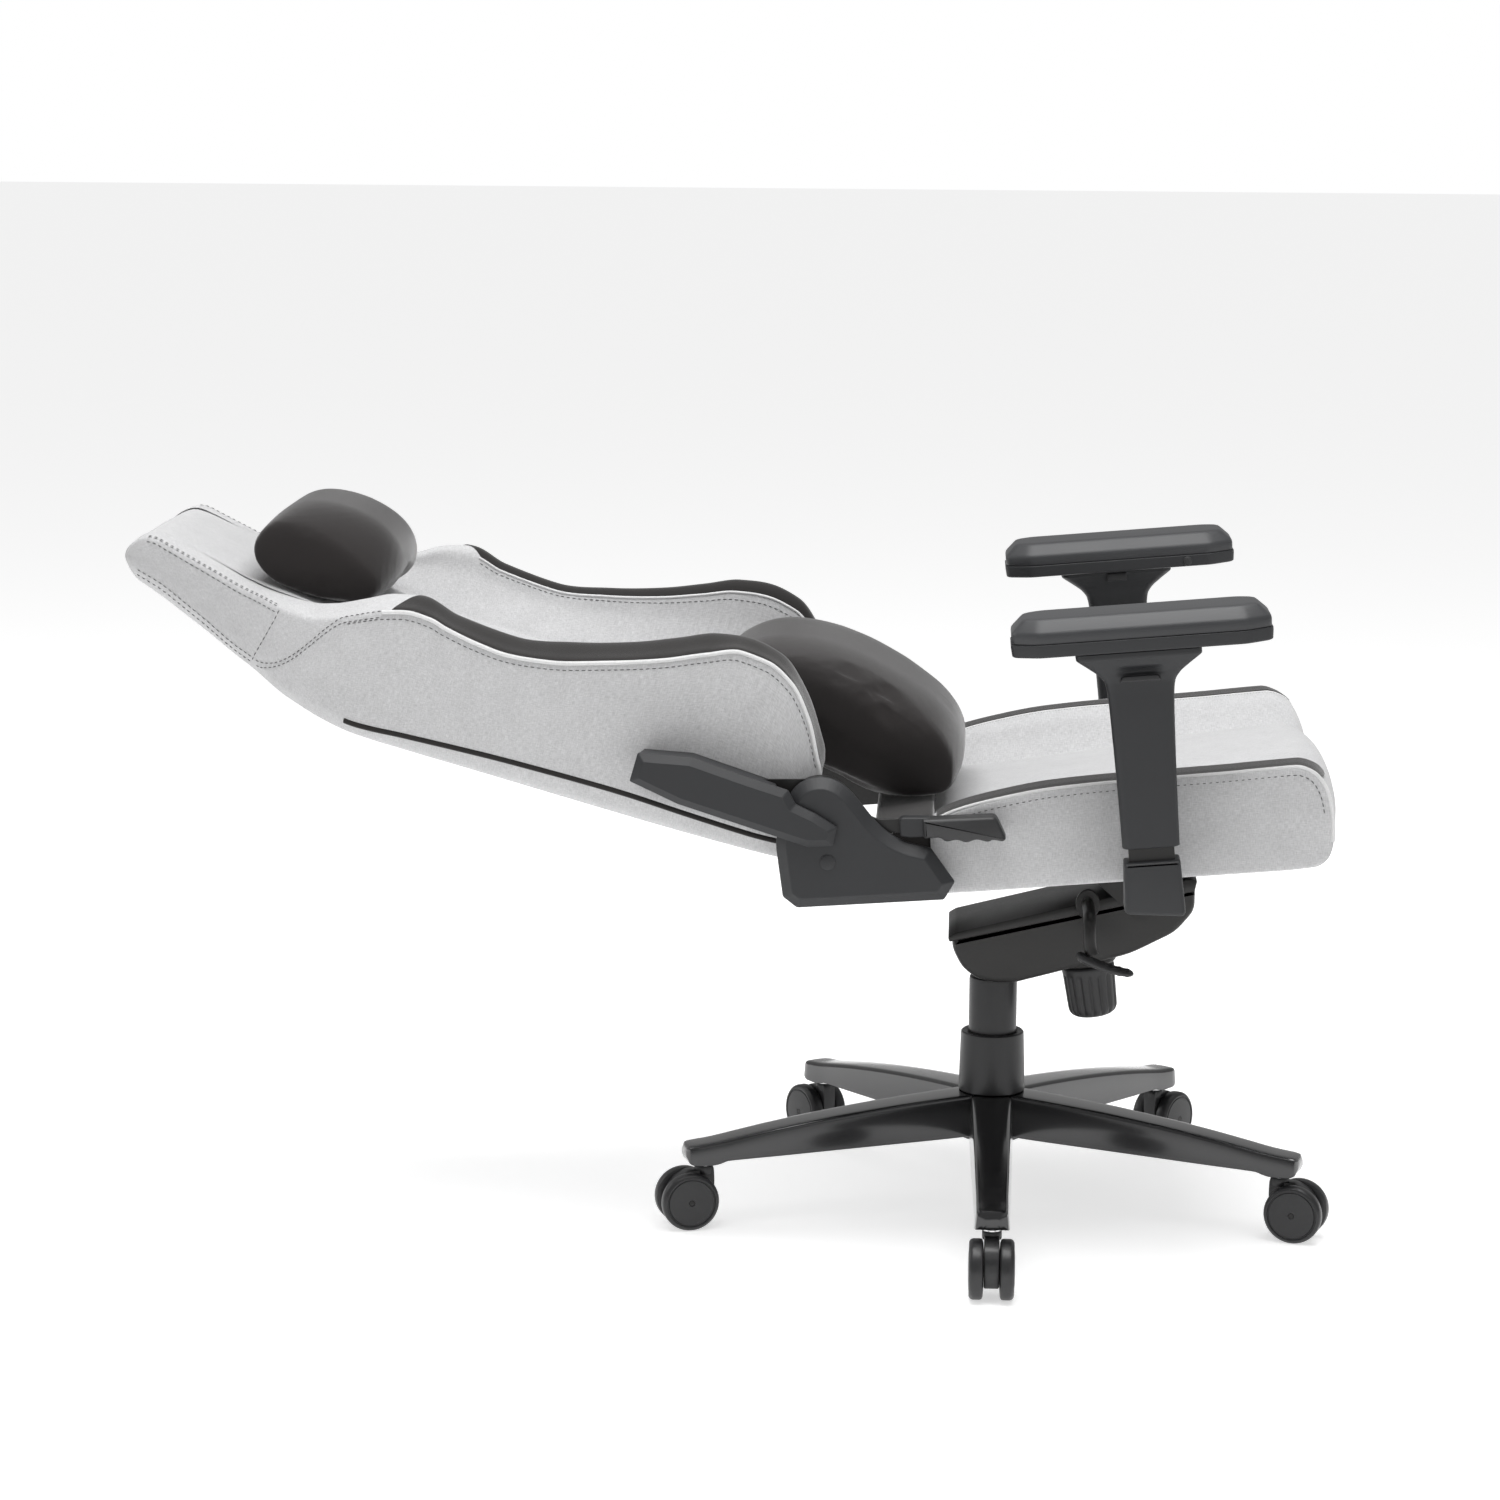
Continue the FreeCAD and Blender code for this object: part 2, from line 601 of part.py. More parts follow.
# ---- backrest ---------------------------------------------------------------------------------------
def backrest():
    rail_out, rail_in = back_width / 2 - 20, back_width / 2 - 45
    frame = piece("backrest_frame", BACK)
    low, high = back_rail_rear, back_rail_front
    for across in (60, 250, 445):
        extrude(frame, "XY", low, high, box(-rail_out, across, rail_out, across + 25))
    for near, far in ((rail_in, rail_out), (-rail_out, -rail_in)):
        extrude(frame, "XY", low, high, box(near, 20, far, 470))
    half = back_panel_width / 2
    base = back_rail_front + soft_gap
    cushion = piece("backrest_cushion", BACK)
    extrude(cushion, "YZ", -half, half, [(6, base), (474, base), (474, back_front + 8),
        (430, back_front), (8, back_front)])
    head = piece("backrest_head", BACK)
    tip = head_top
    extrude(head, "YZ", -half, half, [
        (474.5, -72), (474.5, 22), (546, 29.7), (610, 33), (tip - 71, 42), (tip - 29, 48),
        (tip - 7, 34), (tip, 10), (tip - 7, -6),
        (tip - 34, -12), (651, -33), (593, -53), (540, -68)])
    soften(head, 8, X_AXIS, lambda middle: middle.y > head_top.value - 12)
    corner = half - 34
    for side in (-1, 1):
        extrude(head, "XY", -90, 70, [
            (side * (half + 1), tip - 90), (side * (half + 1), tip + 2),
            (side * corner, tip + 2)], cut=True)
    panel = piece("backrest_rear_panel", BACK)
    rear = back_rail_rear - soft_gap
    extrude(panel, "YZ", -rail_out, rail_out, [
        (8, rear), (8, -62), (22, -79), (214, -83), (380, -82), (474, -79), (474, rear)])
    soften(panel, 18, Y_AXIS, lambda middle: middle.z < -75)
    for name, side in SIDES:
        wing = piece("backrest_wing_%s" % name, BACK)
        outer = back_width / 2
        low, high = sided(side, half + soft_gap, outer)
        crest = wing_top
        extrude(wing, "YZ", low, high, [
            (8, base), (10, 36), (37, crest - 45), (63, crest - 17), (91, crest - 4), (118, crest),
            (148, crest - 9), (188, crest - 27),
            (242, crest - 45), (298, crest - 61), (341, crest - 67), (403, crest - 66),
            (450, crest - 70), (500, 34), (545, 8), (560, base)])
        low, high = sided(side, rail_out + soft_gap, outer)
        extrude(wing, "YZ", low, high, [(8, -48), (8, base + 1), (560, base + 1), (572, -22), (540, -52)])
        low, high = sided(side, half + soft_gap, outer)
        extrude(wing, "YZ", low, high, [(475, -50), (475, base + 1), (560, base + 1), (572, -22),
            (540, -52)])
        for spot in (75, 150):
            low, high = sided(side, rail_out - 1, outer + 1)
            extrude(wing, "YZ", low, high, (spot, -24, 7 + soft_gap), cut=True)
        reach = shoulder_reach
        extrude(wing, "XY", -70, 200, [
            (side * outer, reach - 120), (side * (outer + 20), reach - 120),
            (side * (outer + 20), reach + 20),
            (side * (half + 8), reach + 20)], cut=True)


def pillows():
    half = pillow_width / 2
    lumbar = piece("lumbar_pillow", BACK)
    rest = back_front + soft_gap
    extrude(lumbar, "YZ", -half, half, [
        (-134, 24.6), (-84, 5.4), (-54, 5.4), (5, rest), (130, rest), (142, 40), (138, 84),
        (110, 112), (80, 121), (46, 124),
        (-8, 118), (-51, 107), (-94, 91), (-119, 68), (-130, 45)])
    half = head_pillow_width / 2
    head = piece("headrest_pillow", BACK)
    extrude(head, "YZ", -half, half, [
        (482, 56), (498, 36), (546, 30.1), (601, 32.9), (624, 50), (630, 70), (619, 95), (598, 105),
        (561, 106), (522, 95), (490, 76)])


# ---- armrests ---------------------------------------------------------------------------------------
def armrests():
    for name, side in SIDES:
        half_thick = sleeve_thick / 2
        sleeve = piece("armrest_sleeve_%s" % name, SEAT)
        low, high = sided(side, arm_x - half_thick, arm_x + half_thick)
        extrude(sleeve, "YZ", low, high, [
            (arm_y - 27.5, sleeve_bottom), (arm_y + 27.5, sleeve_bottom),
            (arm_y + 33, sleeve_top + 1), (arm_y - 33, sleeve_top + 1)])
        flare_low = box(low, arm_y - 33, high, arm_y + 33)
        wide_low, wide_high = sided(side, arm_x - platform_width / 2, arm_x + platform_width / 2)
        flare_high = box(wide_low, arm_y - platform_length / 2, wide_high, arm_y + platform_length / 2)
        loft(sleeve, "XY", ((sleeve_top, flare_low), (platform_top - 7, flare_high)))
        extrude(sleeve, "XY", platform_top - 7, platform_top, flare_high)
        play = 0.35
        low, high = sided(side, arm_x - post_thick / 2 - play, arm_x + post_thick / 2 + play)
        cavity = box(low, arm_y - post_width / 2 - play, high, arm_y + post_width / 2 + play)
        extrude(sleeve, "XY", sleeve_bottom - 1, sleeve_top - 1, cavity, cut=True)
        extrude(sleeve, "XY", platform_top - 14, platform_top + 1, (side * arm_x, arm_y,
            6 + running_gap), cut=True)

        trigger_z = sleeve_top + 10
        low, high = sided(side, arm_x + 4.5, arm_x + 40)
        extrude(sleeve, "YZ", low, high, box(arm_y - 20.5, trigger_z - 5, arm_y + 20.5, trigger_z + 5),
            cut=True)
        trigger = piece("armrest_height_button_%s" % name, SEAT)
        low, high = sided(side, arm_x + 5 + button_travel, arm_x + 19)
        extrude(trigger, "YZ", low, high, box(arm_y - 20, trigger_z - 4.5, arm_y + 20, trigger_z + 4.5))

        side_z = platform_top - 9
        inner_face = arm_x - platform_width / 2
        low, high = sided(side, inner_face - 2, inner_face + 9 + button_travel)
        extrude(sleeve, "YZ", low, high, box(arm_y - 11.4, side_z - 4.9, arm_y + 11.4, side_z + 4.9),
            cut=True)
        key = piece("armrest_side_button_%s" % name, SEAT)
        low, high = sided(side, inner_face - 1.5, inner_face + 8)
        extrude(key, "YZ", low, high, box(arm_y - 11, side_z - 4.5, arm_y + 11, side_z + 4.5))

        swivel = piece("armrest_swivel_plate_%s" % name, SEAT)
        extrude(swivel, "XY", platform_top + 0.3, platform_top + 3.3, (side * arm_x, arm_y, 21))
        extrude(swivel, "XY", platform_top - 13, platform_top + 1, (side * arm_x, arm_y, 6))
        slide = piece("armrest_slide_plate_%s" % name, SEAT)
        low, high = sided(side, arm_x - 18, arm_x + 18)
        extrude(slide, "XY", platform_top + 3.6, platform_top + 6.6, box(low, arm_y - 25, high,
            arm_y + 25))

        bottom = platform_top + 0.6
        top = bottom + pad_base_thick
        half_length, half_width = pad_length / 2, pad_width / 2
        middle = arm_y - 4
        low, high = sided(side, pad_x - half_width, pad_x + half_width)

        def rim(inset):
            """The pad's outline seen from above, with its corners cut."""
            across = (low + inset, high - inset)
            along = (middle - half_length + inset, middle + half_length - inset)
            cut_x, cut_y = 16, 26
            return [
                (across[0] + cut_x, along[0]), (across[1] - cut_x, along[0]),
                (across[1], along[0] + cut_y),
                (across[1], along[1] - cut_y), (across[1] - cut_x, along[1]),
                (across[0] + cut_x, along[1]),
                (across[0], along[1] - cut_y), (across[0], along[0] + cut_y)]

        base = piece("armrest_pad_base_%s" % name, SEAT)
        extrude(base, "XY", bottom, top, rim(0))
        room_y, room_x = 27 + pad_travel, 22.5 + pad_shift
        near, far = sided(side, arm_x - room_x, arm_x + room_x)
        extrude(base, "XY", bottom - 1, platform_top + 6.9, box(near, arm_y - room_y, far,
            arm_y + room_y), cut=True)
        button_y, button_z = middle - half_length + 52, bottom + 6.3
        face = pad_x - half_width
        near, far = sided(side, face - 1, face + 10)
        extrude(base, "YZ", near, far, (button_y, button_z, 5.3), cut=True)
        button = piece("armrest_round_button_%s" % name, SEAT)
        near, far = sided(side, face - 1.2, face + 10 - button_travel)
        extrude(button, "YZ", near, far, (button_y, button_z, 5))

        pad = piece("armrest_pad_%s" % name, SEAT)
        extrude(pad, "XY", top, top + pad_thick - 12, rim(1.5))
        loft(pad, "XY", ((top + pad_thick - 12, rim(1.5)), (top + pad_thick, rim(12))))


star_base()
gas_lift()
casters()
tilt_housing()
tension_knob()
height_lever()
seat_plate()
seat_frame()
seat_upholstery()
armrest_mounts()
recliners()
backrest()
pillows()
armrests()
doc.recompute()

for item in doc.Objects:
    if "Invalid" in item.State or "Error" in item.State:
        raise RuntimeError("%s (%s) did not build" % (item.Label, item.Name))
os.makedirs("parts", exist_ok=True)
for body in pieces:
    shape = body.Shape
    if shape.isNull() or not shape.isValid():
        raise RuntimeError("%s has no valid shape" % body.Label)
    shape.exportStep("parts/%s.step" % body.Label)
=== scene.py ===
import math
import bpy
import numpy as np
from mathutils import Matrix


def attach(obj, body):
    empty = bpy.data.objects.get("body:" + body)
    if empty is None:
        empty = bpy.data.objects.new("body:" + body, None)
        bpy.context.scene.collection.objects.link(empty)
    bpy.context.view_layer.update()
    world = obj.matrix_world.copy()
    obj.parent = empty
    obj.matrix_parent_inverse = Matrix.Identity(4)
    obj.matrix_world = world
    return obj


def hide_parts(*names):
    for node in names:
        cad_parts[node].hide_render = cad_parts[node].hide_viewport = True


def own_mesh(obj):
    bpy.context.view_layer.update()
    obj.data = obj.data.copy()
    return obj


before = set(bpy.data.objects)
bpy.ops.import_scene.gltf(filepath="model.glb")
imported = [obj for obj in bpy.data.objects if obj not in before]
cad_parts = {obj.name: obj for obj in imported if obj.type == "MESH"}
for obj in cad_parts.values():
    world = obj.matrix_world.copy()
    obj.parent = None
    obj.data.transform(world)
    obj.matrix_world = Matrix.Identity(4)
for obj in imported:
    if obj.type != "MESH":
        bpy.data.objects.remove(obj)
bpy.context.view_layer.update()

scene = bpy.context.scene

# ---- studio ----------------------------------------------------------------------------------------
# A pale seamless floor under one large overhead softbox, with a weaker one beside the camera.
# The camera looks at the chair's right side from a little above the seat, through a long lens.
CAMERA_PLACE = np.array([-4.1982, 0.0399, 1.2123])
CAMERA_DOWN, CAMERA_TURN, CAMERA_ROLL = 0.1716, 0.0516, 0.0068
CAMERA_LENS, FILM_WIDTH = 98.413, 36
FLOOR_HALF = 30

ahead = np.array([math.cos(CAMERA_DOWN) * math.cos(CAMERA_TURN),
    math.cos(CAMERA_DOWN) * math.sin(CAMERA_TURN),
                  -math.sin(CAMERA_DOWN)])
right = np.cross(ahead, (0, 0, 1))
right /= np.linalg.norm(right)
up = np.cross(right, ahead)
right, up = (math.cos(CAMERA_ROLL) * right + math.sin(CAMERA_ROLL) * up,
             math.cos(CAMERA_ROLL) * up - math.sin(CAMERA_ROLL) * right)
camera_data = bpy.data.cameras.new("camera")
camera_data.sensor_width, camera_data.lens = FILM_WIDTH, CAMERA_LENS
camera = bpy.data.objects.new("camera", camera_data)
scene.collection.objects.link(camera)
pose = np.eye(4)
pose[:3, 0], pose[:3, 1], pose[:3, 2], pose[:3, 3] = right, up, -ahead, CAMERA_PLACE
camera.matrix_world = Matrix(pose.tolist())
scene.camera = camera
scene.view_settings.view_transform = "Standard"


def softbox(name, place, target, size, power):
    """A square area light of that size in metres and power in watts, turned to face its target."""
    data = bpy.data.lights.new(name, "AREA")
    data.size, data.energy = size, power
    lamp = bpy.data.objects.new(name, data)
    scene.collection.objects.link(lamp)
    away = np.array(place, float) - np.array(target, float)
    away /= np.linalg.norm(away)
    side = np.cross((0.0, 1.0, 0.1), away)
    side /= np.linalg.norm(side)
    turn = np.eye(4)
    turn[:3, 0], turn[:3, 1], turn[:3, 2], turn[:3, 3] = side, np.cross(away, side), away, place
    lamp.matrix_world = Matrix(turn.tolist())


softbox("overhead", (-0.4, 0.1, 3.2), (0, 0.2, 0.4), 2.6, 110)
softbox("beside_camera", (-3.4, -2.0, 1.5), (0, 0.2, 0.5), 1.6, 4)
softbox("behind_head", (0.6, 3.4, 1.8), (0, 0.3, 0.5), 1.6, 17)
world = bpy.data.worlds.new("studio")
scene.world = world
world.use_nodes = True
world.node_tree.nodes["Background"].inputs["Color"].default_value = (1, 1, 1, 1)
# the backdrop shows as paper white, and lights the chair at a lower level
sky, seen = world.node_tree.nodes["Background"], world.node_tree.nodes.new("ShaderNodeLightPath")
level = world.node_tree.nodes.new("ShaderNodeMapRange")
level.inputs["To Min"].default_value, level.inputs["To Max"].default_value = 0.40, 1.0
world.node_tree.links.new(seen.outputs["Is Camera Ray"], level.inputs["Value"])
world.node_tree.links.new(level.outputs[0], sky.inputs["Strength"])

floor_mesh = bpy.data.meshes.new("floor")
floor_mesh.from_pydata([(-FLOOR_HALF, -FLOOR_HALF, 0), (FLOOR_HALF, -FLOOR_HALF, 0),
    (FLOOR_HALF, FLOOR_HALF, 0),
                        (-FLOOR_HALF, FLOOR_HALF, 0)], [], [(0, 1, 2, 3)])
floor = bpy.data.objects.new("floor", floor_mesh)
scene.collection.objects.link(floor)
floor_paint = bpy.data.materials.new("floor_paint")
floor_paint.use_nodes = True
for socket, value in (("Base Color", (0.80, 0.80, 0.80, 1)), ("Roughness", 0.9), ("Specular IOR Level", 0.1),
                      ("Emission Color", (1, 1, 1, 1)), ("Emission Strength", 0.56)):
    floor_paint.node_tree.nodes["Principled BSDF"].inputs[socket].default_value = value
floor_mesh.materials.append(floor_paint)

# ---- star base -------------------------------------------------------------------------------------
# Five-legged aluminium casting with satin black paint: a short hub bored for the gas lift, and hollow
# legs, open below, that end in a thick boss for the caster's stem.
LEG_ANGLES = (180, 252, 324, 36, 108)
STEM_CIRCLE = 312.0
LEG_WALL = 3.5


class Wire:
    """One socket of a material. Sums on it add Math nodes, and add() puts in any other node."""

    def __init__(self, tree, socket=None):
        self.tree, self.socket = tree, socket

    def add(self, kind, settings=(), inputs=(), out=0):
        """A node: its settings are set first, then its sockets get values or wires."""
        node = self.tree.nodes.new("ShaderNode" + kind)
        for setting, value in dict(settings).items():
            setattr(node, setting, value)
        for place, value in dict(inputs).items():
            if isinstance(value, Wire):
                self.tree.links.new(value.socket, node.inputs[place])
            else:
                node.inputs[place].default_value = value
        return Wire(self.tree, node.outputs[out])

    def maths(self, operation, first, second=0.0):
        return self.add("Math", {"operation": operation}, {0: first, 1: second})

    def __add__(self, other):
        return self.maths("ADD", self, other)

    def __sub__(self, other):
        return self.maths("SUBTRACT", self, other)

    def __rsub__(self, other):
        return self.maths("SUBTRACT", other, self)

    def __mul__(self, other):
        return self.maths("MULTIPLY", self, other)

    __radd__, __rmul__ = __add__, __mul__

    def blend(self, dark, light):
        """A colour between two, by this value."""
        return self.add("Mix", {"data_type": "RGBA"}, {"Factor": self, 6: (*dark, 1), 7: (*light, 1)}, out=2)

    def noise(self, place, scale, detail=2.0, stretch=(1, 1, 1)):
        """Cloudy noise from 0 to 1; scale is spots per metre, and stretch pulls them out."""
        where = self.add("Mapping", {}, {"Vector": place, "Scale": tuple(scale * share for share in stretch)})
        return self.add("TexNoise", {}, {"Vector": where, "Scale": 1.0, "Detail": detail})

    def relief(self, height, depth, strength=1.0):
        """A bump of that depth in metres."""
        return self.add("Bump", {}, {"Height": height, "Distance": depth, "Strength": strength})


def finish(name, **fixed):
    """A new material, its shader with these fixed values, and the wire its nodes start from."""
    material = bpy.data.materials.new(name)
    material.use_nodes = True
    shader = material.node_tree.nodes["Principled BSDF"]
    for socket, value in fixed.items():
        shader.inputs[socket.replace("_", " ")].default_value = value
    return material, shader, Wire(material.node_tree)


def wear(shader, **wires):
    """Lead each wire to the shader's socket of that name."""
    for socket, wire in wires.items():
        wire.tree.links.new(wire.socket, shader.inputs[socket.replace("_", " ")])


def hard_finish(name, dark, light, roughness, spread, grain, depth, **fixed):
    """Paint, steel or moulded plastic: colour and roughness drift slowly, and a fine grain, in spots per
    metre, lifts the surface by depth metres."""
    material, shader, wire = finish(name, **fixed)
    place = wire.add("TexCoord", out=3)
    drift = wire.noise(place, 14, 3.0)
    speck = wire.noise(place, grain, 3.0)
    wear(shader,
         Base_Color=(drift * 0.6 + speck * 0.4).blend(dark, light),
         Roughness=roughness + (drift - 0.5) * spread + (speck - 0.5) * (spread * 0.5),
         Normal=wire.relief(speck, depth))
    return material


base_paint = hard_finish("satin_black_paint", (0.008, 0.008, 0.009), (0.016, 0.016, 0.017), 0.24, 0.10, 700,
    0.00001,
                         Metallic=0.45, Coat_Weight=0.9, Coat_Roughness=0.12)
lift_paint = hard_finish("lift_black_paint", (0.016, 0.016, 0.017), (0.028, 0.028, 0.029), 0.40, 0.12, 500,
    0.00002,
                         Metallic=0.2)
black_steel = hard_finish("black_steel", (0.012, 0.012, 0.012), (0.028, 0.027, 0.026), 0.42, 0.2, 380,
    0.00005,
                          Metallic=0.4)
bright_steel = hard_finish("bright_steel", (0.55, 0.55, 0.56), (0.72, 0.72, 0.72), 0.20, 0.12, 900, 0.00001,
                           Metallic=1.0)


def leaning(origin_y, origin_z, degrees):
    """Takes points from a leaning part's own frame, in millimetres, to the chair's frame in metres:
    turned about X by the lean, then moved to the part's origin."""
    c, s = math.cos(math.radians(degrees)), math.sin(math.radians(degrees))

    def place(points):
        x, y, z = np.moveaxis(np.asarray(points, float), -1, 0)
        return np.stack([x, origin_y + y * c - z * s, origin_z + y * s + z * c], -1) / 1000
    return place


def swung(x_origin, y_origin, degrees):
    """Takes millimetres in a frame turned about the upright axis to the chair's frame in metres."""
    c, s = math.cos(math.radians(degrees)), math.sin(math.radians(degrees))

    def place(points):
        x, y, z = np.moveaxis(np.asarray(points, float), -1, 0)
        return np.stack([x_origin + x * c - y * s, y_origin + x * s + y * c, z], -1) / 1000
    return place


upright = leaning(0, 0, 0)


def skin(name, points, material, body, loop=True, ring=False, stands_for=(), sharp=38,
         laid_flat=None):
    """A mesh from one or more grids of points, each of stations along the piece by points round it.
    Neighbours are joined by four-cornered faces; loop joins the last point round to the first, ring the
    last station to the first, and open ends get one flat face. Each shell's volume, a sum of tetrahedra
    on the origin, tells whether its faces are turned round to point out. The UV map is the mean distance
    run along and round, in metres, so that cloth lies straight."""
    grids = np.asarray(points, float)
    grids = grids.reshape((-1,) + grids.shape[-3:])
    shells, rows, cols = grids.shape[:3]
    i, j = np.meshgrid(np.arange(rows if ring else rows - 1), np.arange(cols if loop else cols - 1),
        indexing="ij")
    i, j = i.ravel(), j.ravel()
    corners = [(i, j), (i, j + 1), (i + 1, j + 1), (i + 1, j)]
    quads = np.stack([(a % rows) * cols + b % cols for a, b in corners], -1)
    wide = np.concatenate([grids, grids[:, :, :1]], 2)
    wide = np.concatenate([wide, wide[:, :1]], 1)
    run_round = np.cumsum(np.linalg.norm(np.diff(wide, axis=2, prepend=wide[:, :, :1]), axis=-1), axis=2)
    run_along = np.cumsum(np.linalg.norm(np.diff(wide, axis=1, prepend=wide[:, :1]), axis=-1), axis=1)
    run_round = np.broadcast_to(run_round.mean(1, keepdims=True), run_round.shape)
    run_along = np.broadcast_to(run_along.mean(2, keepdims=True), run_along.shape)
    distance = np.stack([run_round, run_along], -1)
    faces, uvs = [], []
    capped = loop and not ring
    for shell in range(shells):
        flat = grids[shell].reshape(-1, 3)
        middle = flat.mean(0)
        a, b, c, d = [flat[quads[:, k]] - middle for k in range(4)]
        volume = (np.cross(a, b) * c).sum() + (np.cross(a, c) * d).sum()
        if capped:
            for end, sign in ((flat[:cols] - middle, -1), (flat[-cols:] - middle, 1)):
                volume += sign * (np.cross(end, np.roll(end, -1, 0)) * end.mean(0)).sum()
        way = 1 if volume >= 0 else -1
        shell_uv = np.stack([distance[shell][a, b] for a, b in corners], 1)
        faces += (quads[:, ::way] + shell * rows * cols).tolist()
        uvs.append(shell_uv[:, ::way].reshape(-1, 2))
        if capped:
            for start, order in ((0, -way), ((rows - 1) * cols, way)):
                rim = np.arange(start, start + cols)[::order]
                spread = np.ptp(flat[rim], axis=0)
                axes = np.sort(np.argsort(spread)[1:])
                faces.append((rim + shell * rows * cols).tolist())
                uvs.append(flat[rim][:, axes])
    mesh = bpy.data.meshes.new(name)
    mesh.from_pydata(grids.reshape(-1, 3).tolist(), [], faces)
    run = np.concatenate(uvs)
    if laid_flat:
        run = grids.reshape(-1, 3)[np.concatenate(faces)][:, laid_flat]
    mesh.uv_layers.new(name="run").data.foreach_set("uv", run.astype(np.float32).ravel())
    mesh.shade_smooth()
    mesh.set_sharp_from_angle(angle=math.radians(sharp))
    mesh.materials.append(material)
    made = bpy.data.objects.new(name, mesh)
    scene.collection.objects.link(made)
    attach(made, body)
    if stands_for:
        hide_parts(*stands_for)
    return made


def eased(made, width, segments=3, angle=30):
    """Rounds a moulded piece's edges by width metres."""
    bevel = made.modifiers.new("eased_edges", "BEVEL")
    bevel.width, bevel.segments, bevel.limit_method = width, segments, "ANGLE"
    bevel.angle_limit = math.radians(angle)
    bevel.harden_normals = False
    return made


def rounded(corners, radius, steps=4):
    """An outline with eased corners: each becomes a curve between points radius away along its two
    edges, weighted (1-t) squared, 2t(1-t) and t squared on start, corner and end."""
    corners = np.asarray(corners, float)
    before, after = np.roll(corners, 1, -2) - corners, np.roll(corners, -1, -2) - corners
    reach = np.broadcast_to(radius, corners.shape[:-1])[..., None]
    start = corners + before * np.minimum(reach / np.linalg.norm(before, axis=-1, keepdims=True), 0.48)
    end = corners + after * np.minimum(reach / np.linalg.norm(after, axis=-1, keepdims=True), 0.48)
    t = np.linspace(0, 1, steps)[:, None]
    curve = (start[..., None, :] * (1 - t) ** 2 + corners[..., None, :] * 2 * t * (1 - t) + end[..., None,
        :] * t ** 2)
    return curve.reshape(corners.shape[:-2] + (-1, corners.shape[-1]))


def through(table, at):
    """A smooth curve through a table whose first column increases: cubic spans with the harmonic
    mean of the neighbouring slopes at each row, level at a peak, so it never swings past the rows."""
    table = np.asarray(table, float)
    knots, values = table[:, 0], table[:, 1:]
    step = np.diff(knots)[:, None]
    rise = np.diff(values, axis=0) / step
    slope = np.zeros_like(values)
    same = rise[1:] * rise[:-1] > 0
    slope[1:-1] = np.where(same, 2 * rise[1:] * rise[:-1] / np.where(same, rise[1:] + rise[:-1], 1), 0)
    slope[0], slope[-1] = rise[0], rise[-1]
    at = np.clip(np.asarray(at, float), knots[0], knots[-1])
    k = np.clip(np.searchsorted(knots, at, side="right") - 1, 0, len(knots) - 2)
    t = ((at - knots[k]) / step[k, 0])[..., None]
    curve = (values[k] * (1 + 2 * t) * (1 - t) ** 2 + slope[k] * step[k] * t * (1 - t) ** 2
             + values[k + 1] * t * t * (3 - 2 * t) + slope[k + 1] * step[k] * t * t * (t - 1))
    return curve[..., 0] if values.shape[1] == 1 else curve


def lathe(profile, sides=48):
    """Points turned about Z: a profile of (radius, height) rows swept round in equal steps."""
    radius, height = np.asarray(profile, float).T
    angle = np.linspace(0, 2 * np.pi, sides, endpoint=False)
    return np.stack([radius[:, None] * np.cos(angle), radius[:, None] * np.sin(angle),
                     np.broadcast_to(height[:, None], (len(radius), sides))], -1)


def leg_casting():
    """One leg along X: at each station an upside-down channel, its top easing down to the tip, its walls
    drafted outwards, and its hollow closing at the boss; the last stations round the tip off."""
    table = [  # reach, half width, top, bottom, height of the hollow's roof
        (18, 22.5, 126.2, 84, 100), (34, 22.3, 125.6, 82, 108), (60, 21.6, 123.6, 80.5, 112),
        (120, 20.4, 117.8, 78, 106),
        (180, 19.2, 110.6, 75.5, 100), (240, 18.0, 101.8, 73, 93), (278, 17.2, 95.2, 71.6, 88),
        (290, 17.0, 93.0, 71.0, 82),
        (298, 17.0, 91.6, 68.5, 70), (306, 17.0, 90.4, 67.2, 67.5), (322, 16.8, 88.6, 67.2, 67.5),
        (329, 15.8, 87.6, 69, 69.3),
        (332.5, 13.0, 85.5, 73, 73.3), (333, 10.0, 83.5, 76, 76.3)]
    reach = np.concatenate([np.linspace(18, 286, 40), np.linspace(290, 333, 16)])
    half, top, low, roof = through(table, reach).T
    inner = np.where(roof - low > 4, half - LEG_WALL, half - 5)
    zero = np.zeros_like(half)
    outline = np.stack([
        np.stack([zero, top + 0.6], -1), np.stack([half * 0.94, top], -1), np.stack([half + 0.8, low], -1),
        np.stack([inner, low], -1), np.stack([inner - 1, roof], -1), np.stack([1 - inner, roof], -1),
        np.stack([-inner, low], -1), np.stack([-half - 0.8, low], -1), np.stack([-half * 0.94, top], -1)], 1)
    ring = rounded(outline, (9, 4.2, 1.2, 1.0, 2.5, 2.5, 1.0, 1.2, 4.2), steps=5)
    return np.concatenate([np.broadcast_to(reach[:, None, None], ring.shape[:2] + (1,)), ring], -1)


leg = leg_casting()
skin("star_base_legs", [swung(0, 0, angle)(leg) for angle in LEG_ANGLES], base_paint, "base",
     stands_for=("star_base",))
skin("star_base_hub", upright(lathe([
    (25.2, 77), (31, 76), (33.4, 77.5), (34, 80), (34, 121), (33.2, 124.6), (30, 127), (25.2, 127)], 72)),
    base_paint, "base", ring=True)
